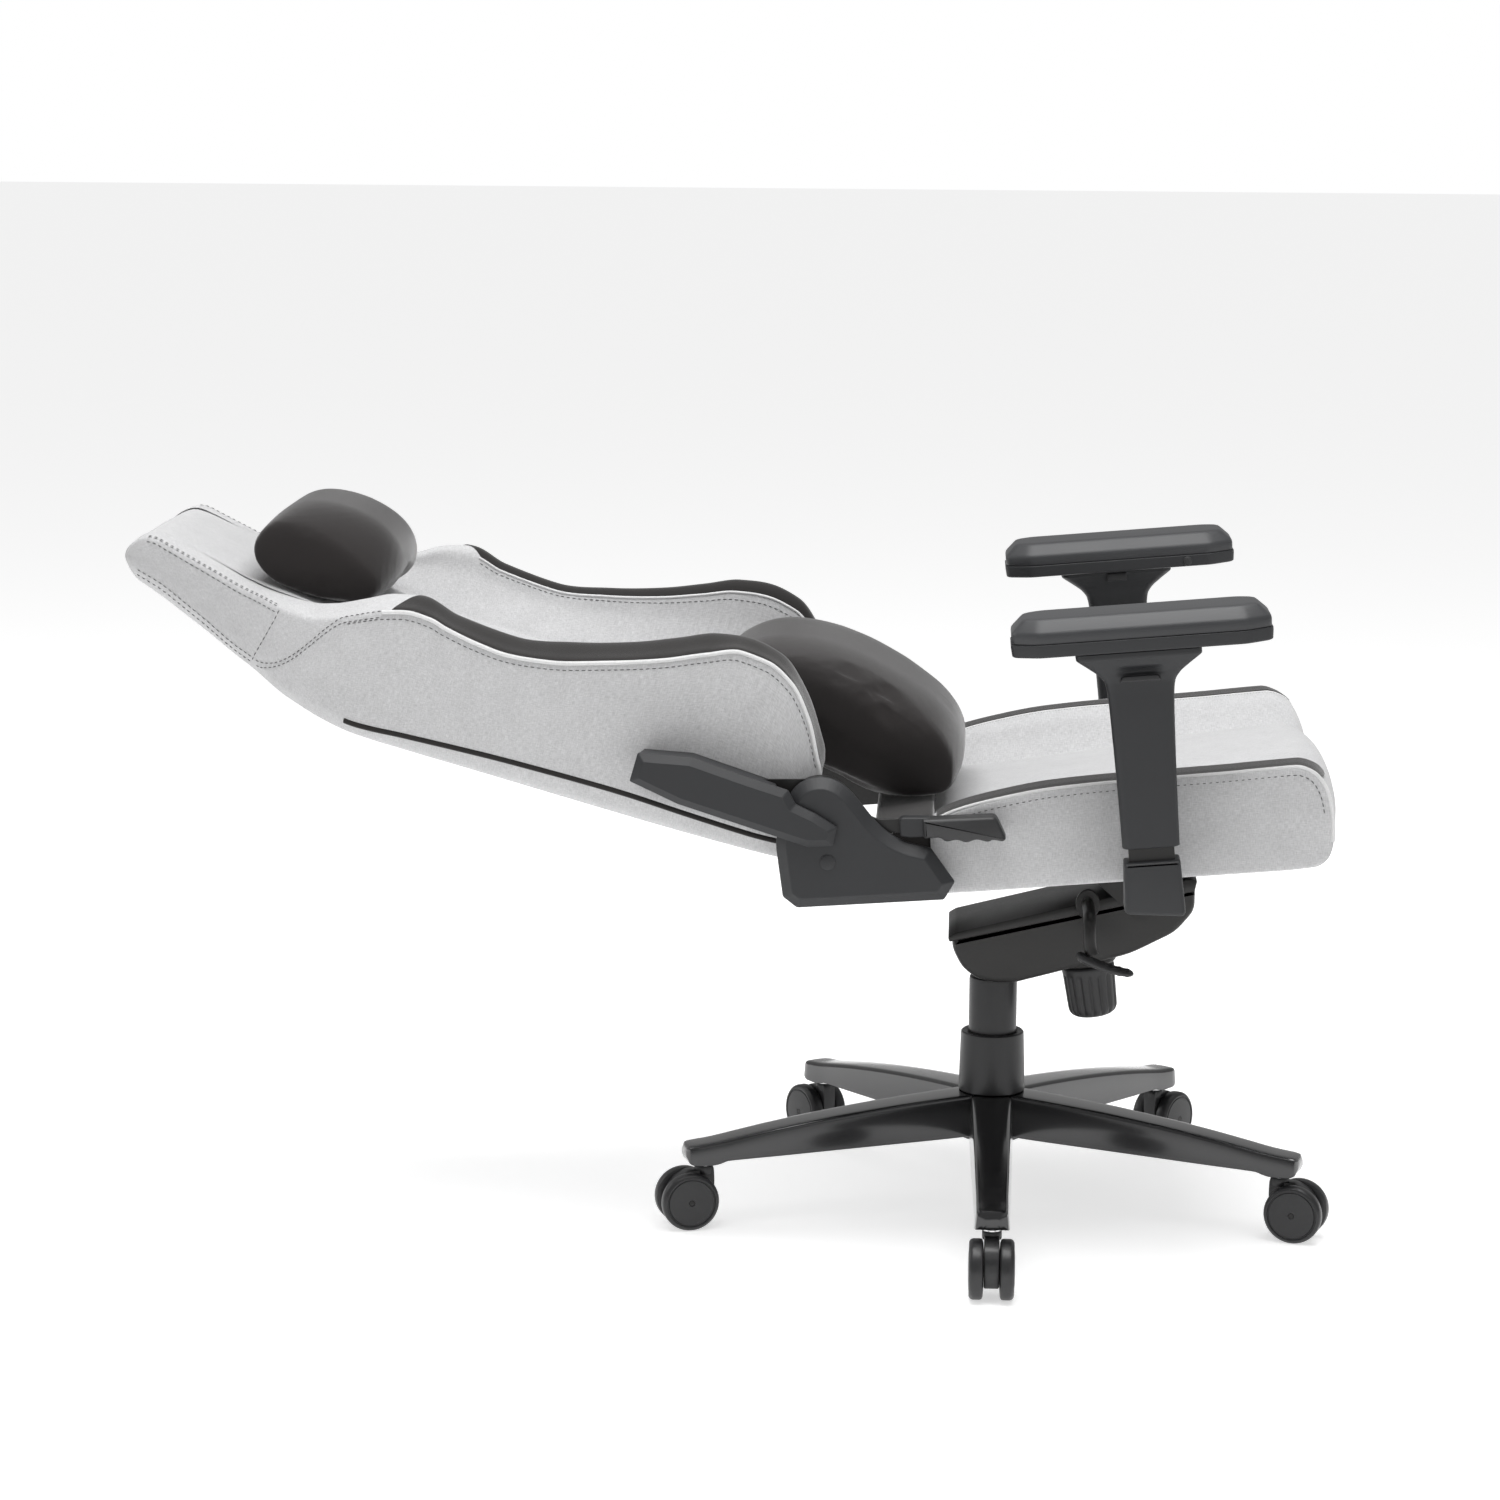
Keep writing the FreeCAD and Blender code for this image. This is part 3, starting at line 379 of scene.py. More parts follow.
# webs where neighbouring legs meet the hub
fillet = []
for angle in LEG_ANGLES:
    turn = np.radians(angle + 36 + np.linspace(-21, 21, 15))
    height = np.linspace(81, 124.5, 12)
    bulge = 34.5 + 3.5 * (np.abs(np.linspace(-1, 1, 15)) ** 2)
    outer = np.stack([np.broadcast_to(bulge * np.cos(turn), (12, 15)),
        np.broadcast_to(bulge * np.sin(turn), (12, 15)),
                      np.broadcast_to(height[:, None], (12, 15))], -1)
    inner = outer * (30 / bulge[None, :, None]) * (1, 1, 0) + outer * (0, 0, 1)
    fillet.append(upright(np.concatenate([outer, inner[:, ::-1]], 1)))
skin("star_base_webs", fillet, base_paint, "base")

# ---- gas lift --------------------------------------------------------------------------------------
# A black painted steel cylinder seated in the hub's taper, its lower half behind a plastic dust cover
# in two rings, and a hardened piston rod that carries the mechanism.
skin("gas_lift_cylinder", upright(lathe([
    (14.4, 232), (14.4, 246), (16.5, 248.6), (22.4, 249), (24.6, 247.6), (25, 245), (25, 126), (25, 79),
    (23.5, 76.4),
    (14.6, 76.4)], 64)), lift_paint, "base", ring=True, stands_for=("gas_lift_tube",))
skin("gas_lift_cover", upright(lathe([
    (25.2, 183), (25.2, 188.6), (27, 190), (31.6, 190), (32.8, 188.8), (33.0, 186.5), (33.9, 160),
    (34.5, 128.5), (34.2, 127.2),
    (32, 127.2), (31.5, 150), (30.5, 180), (27.5, 183)], 72)), lift_paint, "base", ring=True,
    stands_for=("lift_dust_cover",))
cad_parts["piston_tube"].data.materials.clear()
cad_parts["piston_tube"].data.materials.append(black_steel)

# ---- casters ---------------------------------------------------------------------------------------
# Twin-wheel nylon casters: each pair of wheels turns on one axle through a moulded fork, and the fork
# swivels on a steel stem whose bright ring shows under the leg.
WHEEL_RADIUS, FORK_HALF, WHEEL_WIDTH, TRAIL = 30.0, 7.5, 15.5, 18.0
caster_plastic = hard_finish("caster_nylon", (0.010, 0.010, 0.011), (0.022, 0.022, 0.023), 0.36, 0.16, 450,
    0.00003)


def wheel(side):
    """One wheel about the axle: a dished outer face with a raised rim, a crowned tread and a flat inner
    face; its profile of (radius, offset) rows is turned about the axle's Y line."""
    low, high = FORK_HALF + 0.3, FORK_HALF + WHEEL_WIDTH
    profile = np.array([
        (3.2, low), (20, low), (26.5, low + 0.5), (29.3, low + 1.6), (30, low + 3.6), (30, high - 5.0),
        (29.4, high - 3.0),
        (28.2, high - 1.6), (26.6, high - 0.8), (25.6, high - 1.0), (25.0, high - 1.9), (24.2, high - 1.9),
        (23.5, high - 0.9),
        (15, high - 0.2), (5, high), (3.2, high)])
    radius, offset = profile.T
    angle = np.linspace(0, 2 * np.pi, 64, endpoint=False)
    return np.stack([TRAIL + radius[:, None] * np.cos(angle),
        np.broadcast_to(side * offset[:, None], (len(radius), 64)),
                     WHEEL_RADIUS + radius[:, None] * np.sin(angle)], -1)


def fork():
    """The hood between the wheels: an outline in the wheel's plane, carried across its width with the edges
    pulled in at both faces."""
    outline = rounded([
        (-9.8, 56), (-10, 44), (-9, 30), (2, 15), (18, 10), (32, 14.5), (41, 29), (39, 43), (31, 54),
        (18, 60.5), (4, 60.5),
        (0, 64.5), (-9, 64.5)], 4, 5)
    middle = outline.mean(0)
    steps = [(-7.5, 0.95), (-7.1, 0.985), (-6.0, 1.0), (6.0, 1.0), (7.1, 0.985), (7.5, 0.95)]
    return np.stack([np.concatenate([
        (middle + (outline - middle) * share)[:, :1], np.full((len(outline), 1), across),
        (middle + (outline - middle) * share)[:, 1:]], -1) for across, share in steps])


for number, angle in enumerate(LEG_ANGLES, 1):
    place = swung(STEM_CIRCLE * math.cos(math.radians(angle)), STEM_CIRCLE * math.sin(math.radians(angle)),
        angle)
    skin("caster_%d_wheel_pair" % number, [place(wheel(-1)), place(wheel(1))], caster_plastic,
        "caster_wheels_%d" % number,
         ring=True, stands_for=("caster_%d_wheels" % number,), sharp=28)
    skin("caster_%d_hood" % number, place(fork()), caster_plastic, "caster_%d" % number,
         stands_for=("caster_%d_fork" % number,))
    axle = lathe([(0.4, -23.0), (2.6, -23.0), (3.0, -22.6), (3.0, 22.6), (2.6, 23.0), (0.4, 23.0)], 24)[...,
        [0, 2, 1]]
    skin("caster_%d_axle" % number, place(axle + (TRAIL, 0, WHEEL_RADIUS)), black_steel,
        "caster_%d" % number)
    skin("caster_%d_collar" % number, place(lathe([
        (4, 56), (9.4, 56), (9.8, 57), (9.8, 63.4), (9.2, 64.4), (4, 64.4)], 40)), caster_plastic,
        "caster_%d" % number,
        ring=True)
    skin("caster_%d_stem_ring" % number, place(lathe([
        (0.5, 64), (8.2, 64.2), (9.0, 64.8), (9.0, 66.2), (8.0, 66.9), (5.4, 67.0), (5.4, 80), (0.5, 81)],
        40)), bright_steel,
        "caster_%d" % number)

# ---- tilt mechanism --------------------------------------------------------------------------------
# A pressed steel trough, painted black, that seats on the piston and holds the tilt spring; a ribbed
# plastic knob under its front sets the spring, and a bent lever on the chair's right works the gas lift.
knob_plastic = hard_finish("knob_plastic", (0.014, 0.014, 0.015), (0.028, 0.028, 0.029), 0.48, 0.16, 420,
    0.00005)
on_knob = leaning(-98, 264, -8)


def knob():
    """Turned about the knob's axis: the radius along its length, cut by sixteen flutes whose depth is a
    raised cosine of the angle."""
    length = np.concatenate([np.linspace(-0.5, -46, 28), np.linspace(-47, -56, 10)])
    radius = through([(-56, 3), (-55.8, 12), (-54.5, 19), (-51, 23.5), (-46, 25.6), (-30, 26.4), (-8, 27.4),
        (-3, 27.6), (-0.5, 25.5)],
                     length)
    angle = np.linspace(0, 2 * np.pi, 192, endpoint=False)
    depth = through([(-56, 0), (-54, 0.4), (-50, 1.6), (-44, 2.0), (-12, 2.0), (-8, 0.0), (-0.5, 0)], length)
    groove = (0.5 + 0.5 * np.cos(16 * angle)) ** 3
    r = radius[:, None] - depth[:, None] * groove
    return np.stack([r * np.cos(angle), r * np.sin(angle), np.broadcast_to(length[:, None], r.shape)], -1)


skin("tension_knob_grip", on_knob(knob()), knob_plastic, "tension_knob",
    stands_for=("tension_knob",), sharp=50)
skin("tension_knob_bolt", on_knob(lathe([(0.5, -1), (5, -1), (5, 33.2), (4.2, 34), (0.5, 34)], 24)),
    black_steel, "tension_knob")


def inset(outline, distance):
    """The outline moved in by a distance: each corner goes along the mean of its two edges' inward
    directions."""
    outline = np.asarray(outline, float)
    edge = np.roll(outline, -1, 0) - outline
    edge /= np.maximum(np.linalg.norm(edge, axis=1, keepdims=True), 1e-9)
    x, y = outline.T
    turn = 1 if (x * np.roll(y, -1) - np.roll(x, -1) * y).sum() > 0 else -1
    inward = np.stack([-edge[:, 1], edge[:, 0]], 1) * turn
    mean = inward + np.roll(inward, 1, 0)
    mean /= np.maximum(np.linalg.norm(mean, axis=1, keepdims=True), 1e-9)
    spread = np.clip((mean * inward).sum(1, keepdims=True), 0.6, 1)
    return outline + mean * distance / spread


def slab(outline, steps, radius=None, curve=4):
    """A side outline carried across the chair: at each (place, distance) it stands at that X, moved in by
    that distance, its corners then eased if a radius is given."""
    levels = []
    for place, distance in steps:
        shape = inset(outline, distance)
        shape = shape if radius is None else rounded(shape, radius, curve)
        levels.append(np.concatenate([np.full((len(shape), 1), float(place)), shape], 1))
    return np.stack(levels)


def evenly(outline, count):
    """The same closed outline with its points spread evenly along it."""
    closed = np.concatenate([outline, outline[:1]])
    run = np.concatenate([[0], np.cumsum(np.linalg.norm(np.diff(closed, axis=0), axis=1))])
    at = np.linspace(0, run[-1], count, endpoint=False)
    return np.stack([np.interp(at, run, closed[:, k]) for k in range(closed.shape[1])], -1)


ROUNDED_EDGES = [(-60, 7), (-59.3, 4.2), (-57.5, 1.9), (-54.5, 0.5), (-50, 0), (50, 0), (54.5, 0.5),
    (57.5, 1.9), (59.3, 4.2), (60, 7)]
bowl = rounded([(44, 300), (43, 288), (34, 270), (19, 257.5), (0, 253), (-20, 253), (-140, 286),
    (-186, 310), (-205, 333),
                (-205, 358)], (2, 6, 7, 7, 6, 8, 12, 10, 8, 2), 5)
skin("tilt_housing_bowl", upright(slab(bowl, ROUNDED_EDGES)), black_steel, "mechanism",
     stands_for=("tilt_housing",))
rim = rounded([(48, 302), (46.5, 297), (-204, 354.5), (-206.5, 366), (-200, 368), (40, 307)], 1.5, 3)
skin("tilt_housing_rim", upright(slab(rim,
    [(-62.5, 1.2), (-62, 0.3), (-61.5, 0), (61.5, 0), (62, 0.3), (62.5, 1.2)])), black_steel,
     "mechanism")
skin("tilt_housing_piston_boss", upright(lathe([(0.5, 251), (17, 251), (21, 252.5), (23, 256), (23, 262),
    (0.5, 262)], 40)),
     black_steel, "mechanism")
skin("tilt_housing_spring_seat", on_knob(lathe([
    (5.2, 0.6), (28.5, 0.6), (30, 2), (30, 9), (26, 22), (5.2, 22)], 48)), black_steel, "mechanism",
    ring=True)

for node in ("tilt_pivot_pin", "seat_plate"):
    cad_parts[node].data.materials.clear()
    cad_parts[node].data.materials.append(black_steel)


def tube_points(path, radius, sides=12, up=(1, 0, 0)):
    """Circles of that radius, one at each point of a path and square to it."""
    path = np.asarray(path, float)
    along = np.gradient(path, axis=0)
    along /= np.linalg.norm(along, axis=-1, keepdims=True)
    across = np.cross(along, up)
    across /= np.linalg.norm(across, axis=-1, keepdims=True)
    angle = np.linspace(0, 2 * np.pi, sides, endpoint=False)
    radius = np.broadcast_to(radius, (len(path),))[:, None, None]
    return path[:, None] + radius * (np.cos(angle)[:, None] * across[:, None]
                                     + np.sin(angle)[:, None] * np.cross(across, along)[:, None])


def smooth_path(points, count):
    """Evenly spread points on a smooth curve through the given ones, by the distance between them."""
    points = np.asarray(points, float)
    run = np.concatenate([[0], np.cumsum(np.linalg.norm(np.diff(points, axis=0), axis=1))])
    return through(np.column_stack([run, points]), np.linspace(0, run[-1], count))


lever_path = smooth_path([(-50, -95, 340), (-90, -95, 340), (-122, -95, 339), (-134, -95, 334),
    (-138, -95, 322), (-139, -96, 310),
                          (-140, -98, 303)], 60)
skin("height_lever_rod", upright(tube_points(lever_path, 6.4, 20, (0, 1, 0.01))), black_steel,
    "height_lever",
     stands_for=("height_lever",))


def paddle():
    """The lever's grip: an oval section carried down its sloping length, its upper face cut by seven
    cross ribs."""
    t = np.linspace(0, 1, 70)
    centre = np.stack([np.full_like(t, -142.0), -82 - 58 * t, 304 - 19 * t - 3 * np.sin(np.pi * t)], -1)
    width = 11.8 * np.clip(1 - (2 * np.clip(t, 0, 1) - 1) ** 8, 0.02, 1) ** 0.5
    ribs = 0.6 * np.clip(np.sin(t * 44), 0, 1) * ((t > 0.35) & (t < 0.95))
    thick = (4.6 - 1.8 * t) * np.clip(1 - (2 * t - 1) ** 10, 0.02, 1) ** 0.5 + ribs
    angle = np.linspace(0, 2 * np.pi, 28, endpoint=False)
    return np.stack([
        centre[:, 0, None] + width[:, None] * np.sign(np.cos(angle)) * np.abs(np.cos(angle)) ** 0.7,
        centre[:, 1, None] - 0.3 * thick[:, None] * np.sin(angle),
        centre[:, 2, None] + thick[:, None] * np.sign(np.sin(angle)) * np.abs(np.sin(angle)) ** 0.8], -1)


skin("height_lever_paddle", upright(paddle()), knob_plastic, "height_lever", sharp=50)
skin("height_lever_washer", upright(lathe([(6, -3), (11.5, -3), (12.5, -2), (12.5, 1.5), (11, 3), (6, 3)],
    40)[..., [2, 0, 1]]
                                    * (1, 1.0, 1.25) + (-64, -95, 340)), black_steel, "height_lever",
                                    ring=True)

# ---- seat ------------------------------------------------------------------------------------------
# A steel frame under moulded foam: a crowned centre panel between two side bolsters, covered in heather-
# grey woven cloth. Black velour runs along each bolster's crest, and light piping edges the side panels.
on_seat = leaning(0, 390, -5)
on_back = leaning(174, 471, 16)
LINEN_LIGHT, LINEN_DARK = (0.66, 0.66, 0.665), (0.40, 0.40, 0.405)


def woven(name, light, dark, fleck):
    """Woven cloth on the UV map, in metres: short threads of two shades along and across, where noise is
    stretched along each thread, over a plain weave whose relief is the product of two sines."""
    material, shader, wire = finish(name, Roughness=0.92, Sheen_Weight=0.25, Sheen_Roughness=0.5)
    place = wire.add("UVMap", {"uv_map": "run"})
    warp = wire.noise(place, 1, 2.0, (1150, 190, 1))
    weft = wire.noise(place, 1, 2.0, (170, 1250, 1))
    cloud = wire.noise(place, 34, 3.0)
    shade = (warp + weft) * 0.5
    sharp = ((shade - 0.5) * fleck + 0.5) + (cloud - 0.5) * 0.35
    axes = wire.add("SeparateXYZ", {}, {0: place})
    other = Wire(axes.tree, axes.socket.node.outputs[1])
    weave = wire.maths("SINE", axes * 5200.0) * wire.maths("SINE", other * 5200.0)
    wear(shader,
         Base_Color=wire.maths("MINIMUM", wire.maths("MAXIMUM", sharp, 0.0), 1.0).blend(dark, light),
         Normal=wire.relief(weave * 0.4 + shade, 0.00035, 0.8))
    return material


def velour(name, dark, light, relief=0.00025):
    """Brushed pile: shade drifts where the nap lies over, with a soft edge sheen and a fine tufted relief."""
    material, shader, wire = finish(name, Roughness=0.85, Sheen_Weight=0.55, Sheen_Roughness=0.35,
                                    Specular_IOR_Level=0.25)
    place = wire.add("TexCoord", out=3)
    nap = wire.noise(place, 11, 4.0)
    tuft = wire.noise(place, 1400, 2.0)
    wear(shader,
         Base_Color=(nap * 0.75 + tuft * 0.25).blend(dark, light),
         Roughness=0.78 + (nap - 0.5) * 0.25,
         Normal=wire.relief(tuft + nap * 0.4, relief, 0.7))
    return material


linen = woven("heather_linen", LINEN_LIGHT, LINEN_DARK, 2.2)
black_velour = velour("black_velour", (0.010, 0.009, 0.009), (0.024, 0.022, 0.021))
piping_cloth = woven("piping_cloth", (0.80, 0.80, 0.80), (0.62, 0.62, 0.62), 1.4)
thread, thread_shader, thread_wire = finish("dark_thread", Roughness=0.6, Sheen_Weight=0.3)
wear(thread_shader, Base_Color=thread_wire.noise(thread_wire.add("TexCoord", out=3), 900, 2.0).blend(
    (0.02, 0.02, 0.021), (0.08, 0.08, 0.082)))


class Surface:
    """A grid of points in millimetres and the direction that faces out at each; at() reads between them by
    weighting the four nearest, with rows and columns counted from 0."""

    def __init__(self, points, outward):
        self.points = points
        normal = np.cross(np.gradient(points, axis=0), np.gradient(points, axis=1)) * outward
        self.normals = normal / np.maximum(np.linalg.norm(normal, axis=-1, keepdims=True), 1e-9)

    def at(self, row, column):
        row, column = np.broadcast_arrays(np.asarray(row, float), np.asarray(column, float))
        rows, cols = self.points.shape[:2]
        i = np.clip(row.astype(int), 0, rows - 2)
        j = np.clip(column.astype(int), 0, cols - 2)
        a, b = (row - i)[..., None], (column - j)[..., None]
        read = [(g[i, j] * (1 - a) * (1 - b) + g[i + 1, j] * a * (1 - b) + g[i,
            j + 1] * (1 - a) * b + g[i + 1, j + 1] * a * b)
                for g in (self.points, self.normals)]
        return read[0], read[1] / np.linalg.norm(read[1], axis=-1, keepdims=True)


def band(points, normals, rise, sink=1.5):
    """A strip lying on a surface, rows along and columns across: its face stands rise above the points,
    falling as a fourth power to both edges, and its back lies sink below them."""
    t = np.linspace(-1, 1, points.shape[1])[None, :, None]
    face = points + normals * rise * (1 - 0.9 * t ** 4)
    back = points - normals * sink
    return np.concatenate([face, back[:, ::-1]], 1)


def stitch_points(points, normals, length=4.0, gap=2.3, thick=0.42):
    """Stitches along a seam: each is five hexagons over its length, arched up out of the cloth as half a
    sine."""
    run = np.concatenate([[0], np.cumsum(np.linalg.norm(np.diff(points, axis=0), axis=1))])
    starts = np.arange(0, run[-1] - length, length + gap)
    t = np.linspace(0, 1, 5)
    at = starts[:, None] + t * length
    read = lambda values, where: np.stack([np.interp(where, run, values[:, k]) for k in range(3)], -1)
    centre, out = read(points, at), read(normals, at)
    along = read(points, at + 0.5) - read(points, at - 0.5)
    along /= np.maximum(np.linalg.norm(along, axis=-1, keepdims=True), 1e-9)
    across = np.cross(along, out)
    centre = centre + out * (0.55 * np.sin(np.pi * t) - 0.1)[None, :, None]
    radius = thick * np.array([0.5, 0.95, 1.0, 0.95, 0.5])[None, :, None, None]
    angle = np.linspace(0, 2 * np.pi, 6, endpoint=False)[:, None]
    return centre[:, :, None] + radius * (np.cos(angle) * across[:, :, None] + np.sin(angle) * out[:, :,
        None])


# The cushion's shape is worked out as stations across the seat; each is a side outline that starts under the
# rear edge, runs forward over the top, down the front and back underneath.
SEAT_HALF = 250.0
SEAT_SEAM = 160.0
side_outline = np.array([
    (62, 2), (62, 30), (61, 66), (50, 79), (-12, 94), (-64, 100), (-122, 102), (-185, 102.5), (-232, 103),
    (-270, 104), (-298, 104.5),
    (-313, 99), (-323, 88), (-329, 71), (-331, 48), (-330, 27), (-325, 12), (-311, 3), (-274, 1.5),
    (-121, 1.5), (20, 1.5)])
middle_top = [(-360, 79), (-334, 80), (-284, 77), (-204, 73), (-129, 66), (-58, 61), (10, 57), (70, 56)]


def seat_grid(across_count, round_count):
    """Side outlines at stations across the seat. A share that rises from 0 at the seams to 1 at the crest
    mixes the centre panel's height with the bolster's; the front bows forward to the middle as a
    cosine."""
    across = np.linspace(-SEAT_HALF, SEAT_HALF, across_count)
    size = np.abs(across)
    share = through([(0, 0), (150, 0), (163, 0.05), (178, 0.35), (196, 0.82), (212, 1.0), (236, 1.0),
        (250, 0.97)], size)
    crown = 5.5 * np.clip(1 - (size / SEAT_SEAM) ** 2, 0, 1) - 3.2 * np.exp(-((size - SEAT_SEAM) / 4.5) ** 2)
    bow = 17 * np.cos(np.clip(size / SEAT_HALF, 0, 1) * np.pi / 2) ** 0.8
    y, z = side_outline.T
    middle = through(middle_top, y)
    front = np.clip((-y - 250) / 70, 0, 1)
    level = np.clip(z / 100, 0, 1.06)
    top = (z > 60) & (y < 62)
    middle_line = np.where(y < -298, middle[10] * np.clip(z / 104.5, 0, 1), middle)
    height = np.where(top, middle_line[None] * (1 - share[:, None]) + z[None] * share[:, None] + crown[:,
        None]
                      * np.clip((z - 60) / 30, 0, 1), z[None] * (1 - 0.18 * (1 - share[:, None]) * level))
    depth = y[None] - bow[:, None] * (front * np.clip(0.35 + z / 80, 0, 1))[None]
    run = np.concatenate([[0], np.cumsum(np.hypot(*np.diff(side_outline, axis=0).T))])
    at = np.linspace(0, run[-1], round_count)
    rings = np.stack([through(np.column_stack([run, d, h]), at) for d, h in zip(depth, height)])
    return np.concatenate([np.broadcast_to(across[:, None, None], rings.shape[:2] + (1,)), rings], -1)


seat_shape = seat_grid(201, 241)
seat_surface = Surface(seat_shape, 1)
seat_skin = skin("seat_cover", on_seat(seat_shape), linen, "seat", stands_for=(
    "seat_cushion", "seat_bolster_left", "seat_bolster_right"), sharp=60)

# ---- backrest --------------------------------------------------------------------------------------
# One moulded foam shell with a deep bucket: low wings rise to a crest on both sides and run out at the
# shoulders into a narrower head. Cloth side panels meet the face in a piped seam and the rear in a welt.
widest = [(0, 245), (430, 245), (460, 242), (500, 226), (540, 200), (580, 175), (620, 157), (680, 149),
    (720, 144), (745, 138)]
edge_rise = [(4, 26), (10, 32), (37, 79), (63, 108), (91, 121), (118, 123), (148, 112), (188, 94),
    (242, 75), (298, 59), (341, 54),
             (367, 56), (403, 62), (418, 66), (435, 67), (463, 60), (478, 53), (498, 42), (520, 31),
             (544, 23), (573, 22), (592, 24),
             (616, 26), (645, 32), (673, 38), (701, 44), (716, 47), (745, 40)]
crest_rise = [(4, 34), (12, 48), (48, 101), (80, 127), (112, 133), (146, 128), (181, 113), (222, 96),
    (277, 79), (335, 67),
              (396, 71), (432, 80), (462, 74), (492, 58), (520, 43), (550, 33), (592, 30), (616, 32),
              (645, 38), (673, 44),
              (701, 50), (716, 52), (745, 44)]
crest_place = [(0, 204), (440, 204), (480, 192), (520, 174), (560, 152), (620, 128), (745, 112)]
seam_place = [(0, 150), (440, 148), (500, 138), (560, 120), (620, 106), (745, 94)]
face_rise = [(4, 13.7), (430, 13.7), (474, 20), (546, 30), (610, 34), (674, 43), (716, 49), (745, 42)]
rear_edge = [(4, -42), (60, -45), (122, -44), (196, -42), (297, -44), (413, -50), (470, -54), (540, -50),
    (586, -36), (608, -31),
             (645, -16), (675, -4), (699, 5), (716, 9), (745, 14)]
rear_middle = [(4, -64), (22, -78), (214, -83), (380, -82), (474, -79), (540, -69), (593, -54), (651, -34),
    (711, -13), (745, -2)]
HEAD_END, HEAD_ROUND = 745.0, 26.0


def back_half(y, count):
    """Half the cross-section at each station, from the middle of the face out over the wing and round to
    the middle of the rear: fourteen key points per station, read from the tables, joined by smooth curves
    on their mean spacing."""
    wide, edge, crest, crest_x, seam_x, face, rear, back = [
        through(table, y) for table in (widest, edge_rise, crest_rise, crest_place, seam_place, face_rise,
        rear_edge, rear_middle)]
    low = np.clip((wide - 175) / 40, 0, 1)
    inner_foot = seam_x + 9
    keys = [
        (0 * y, face + 1.5), (seam_x * 0.6, face + 1.0), (seam_x - 5, face - 0.2),
        (seam_x, face - 2.4 + 2 * (1 - low)),
        (inner_foot, face + (crest - face) * 0.10),
        (inner_foot + (crest_x - inner_foot) * 0.55, face + (crest - face) * 0.62),
        (crest_x - 12, crest - (crest - face) * 0.06 - 1), (crest_x, crest),
        (crest_x + (wide - crest_x) * 0.62, crest * 0.45 + edge * 0.55),
        (wide - 1.5, edge + 2.0), (wide, edge - 1.5), (wide + 1.5, edge * 0.5 + rear * 0.5),
        (wide, rear + 3), (wide - 3, rear - 2),
        (wide - 16, rear * 0.45 + back * 0.55), (wide * 0.62, back + 3), (0 * y, back)]
    keys = np.stack([np.stack(key, -1) for key in keys])
    mid = (face + back) / 2
    near = np.clip((y - (HEAD_END - HEAD_ROUND)) / HEAD_ROUND, 0, 0.9995)
    foot = np.clip((14 - y) / 10, 0, 0.9995)
    shrink = np.sqrt(1 - near ** 2) * np.sqrt(1 - foot ** 2)
    keys[..., 1] = mid + (keys[..., 1] - mid) * shrink
    keys[..., 0] *= (0.84 + 0.16 * np.sqrt(1 - near ** 2)) * (0.97 + 0.03 * np.sqrt(1 - foot ** 2))
    spacing = np.linalg.norm(np.diff(keys, axis=0), axis=-1).mean(1)
    run = np.concatenate([[0], np.cumsum(np.maximum(spacing, 1))])
    at = np.linspace(0, run[-1], count)
    half = through(np.column_stack([run, keys.reshape(len(keys), -1)]), at).reshape(count, len(y), 2)
    half = np.swapaxes(half, 0, 1)
    points = np.stack([half[..., 0], np.broadcast_to(y[:, None], half.shape[:2]), half[..., 1]], -1)
    return points, run / run[-1] * (count - 1)


BACK_STEPS = 181
back_rows = np.concatenate([4 + 10 * (1 - np.cos(np.linspace(0, np.pi / 2, 8, endpoint=False))),
    np.linspace(14, 719, 190, endpoint=False),
                            719 + 26 * np.sin(np.linspace(0, np.pi / 2, 14))])
back_points, key_columns = back_half(back_rows, BACK_STEPS)
INNER_KEY, EDGE_KEY, REAR_KEY = (key_columns[k] for k in (6, 10, 13))
back_surface = {1: Surface(back_points, -1), -1: Surface(back_points * (-1, 1, 1), 1)}
whole = np.concatenate([back_points, (back_points * (-1, 1, 1))[:, -2:0:-1]], 1)
back_skin = skin("backrest_cover", on_back(whole), linen, "backrest", stands_for=(
    "backrest_cushion", "backrest_head", "backrest_rear_panel", "backrest_wing_left",
    "backrest_wing_right"), sharp=60)

def stitched(name, rows, place, material, body):
    """All of a piece's rows of stitches as one mesh: each row is a Surface's points and outward
    directions."""
    skin(name, place(np.concatenate([stitch_points(points, normals) for points, normals in rows])),
        material, body)


# ---- seat trims ------------------------------------------------------------------------------------
# What is sewn to the seat's cover: a side panel over each bolster, the black crest strips, the light
# piping and the stitching, and the black cloth that closes the gap to the backrest.

# side panels: crowned a few millimetres over foam, cut to the seat's side outline
side_ring = evenly(seat_shape[0][:, 1:], 160)
ring_middle = side_ring.mean(0)
for side, name in ((-1, "right"), (1, "left")):
    steps = [(0.93, 247.5), (0.985, 248.5), (0.995, 250.2), (0.985, 251.6), (0.96, 252.6), (0.90, 253.2),
        (0.75, 253.7),
             (0.5, 254), (0.25, 254), (0.04, 254)]
    panel = np.stack([np.concatenate([np.full((160, 1), side * out),
        ring_middle + (side_ring - ring_middle) * share], 1)
                      for share, out in steps])
    skin("seat_side_panel_" + name, on_seat(panel), linen, "seat", laid_flat=[1, 2], sharp=60)

outline_run = np.concatenate([[0], np.cumsum(np.hypot(*np.diff(side_outline, axis=0).T))])
outline_column = outline_run / outline_run[-1] * 240


def seat_row(across):
    return (np.asarray(across, float) + SEAT_HALF) / 2.5


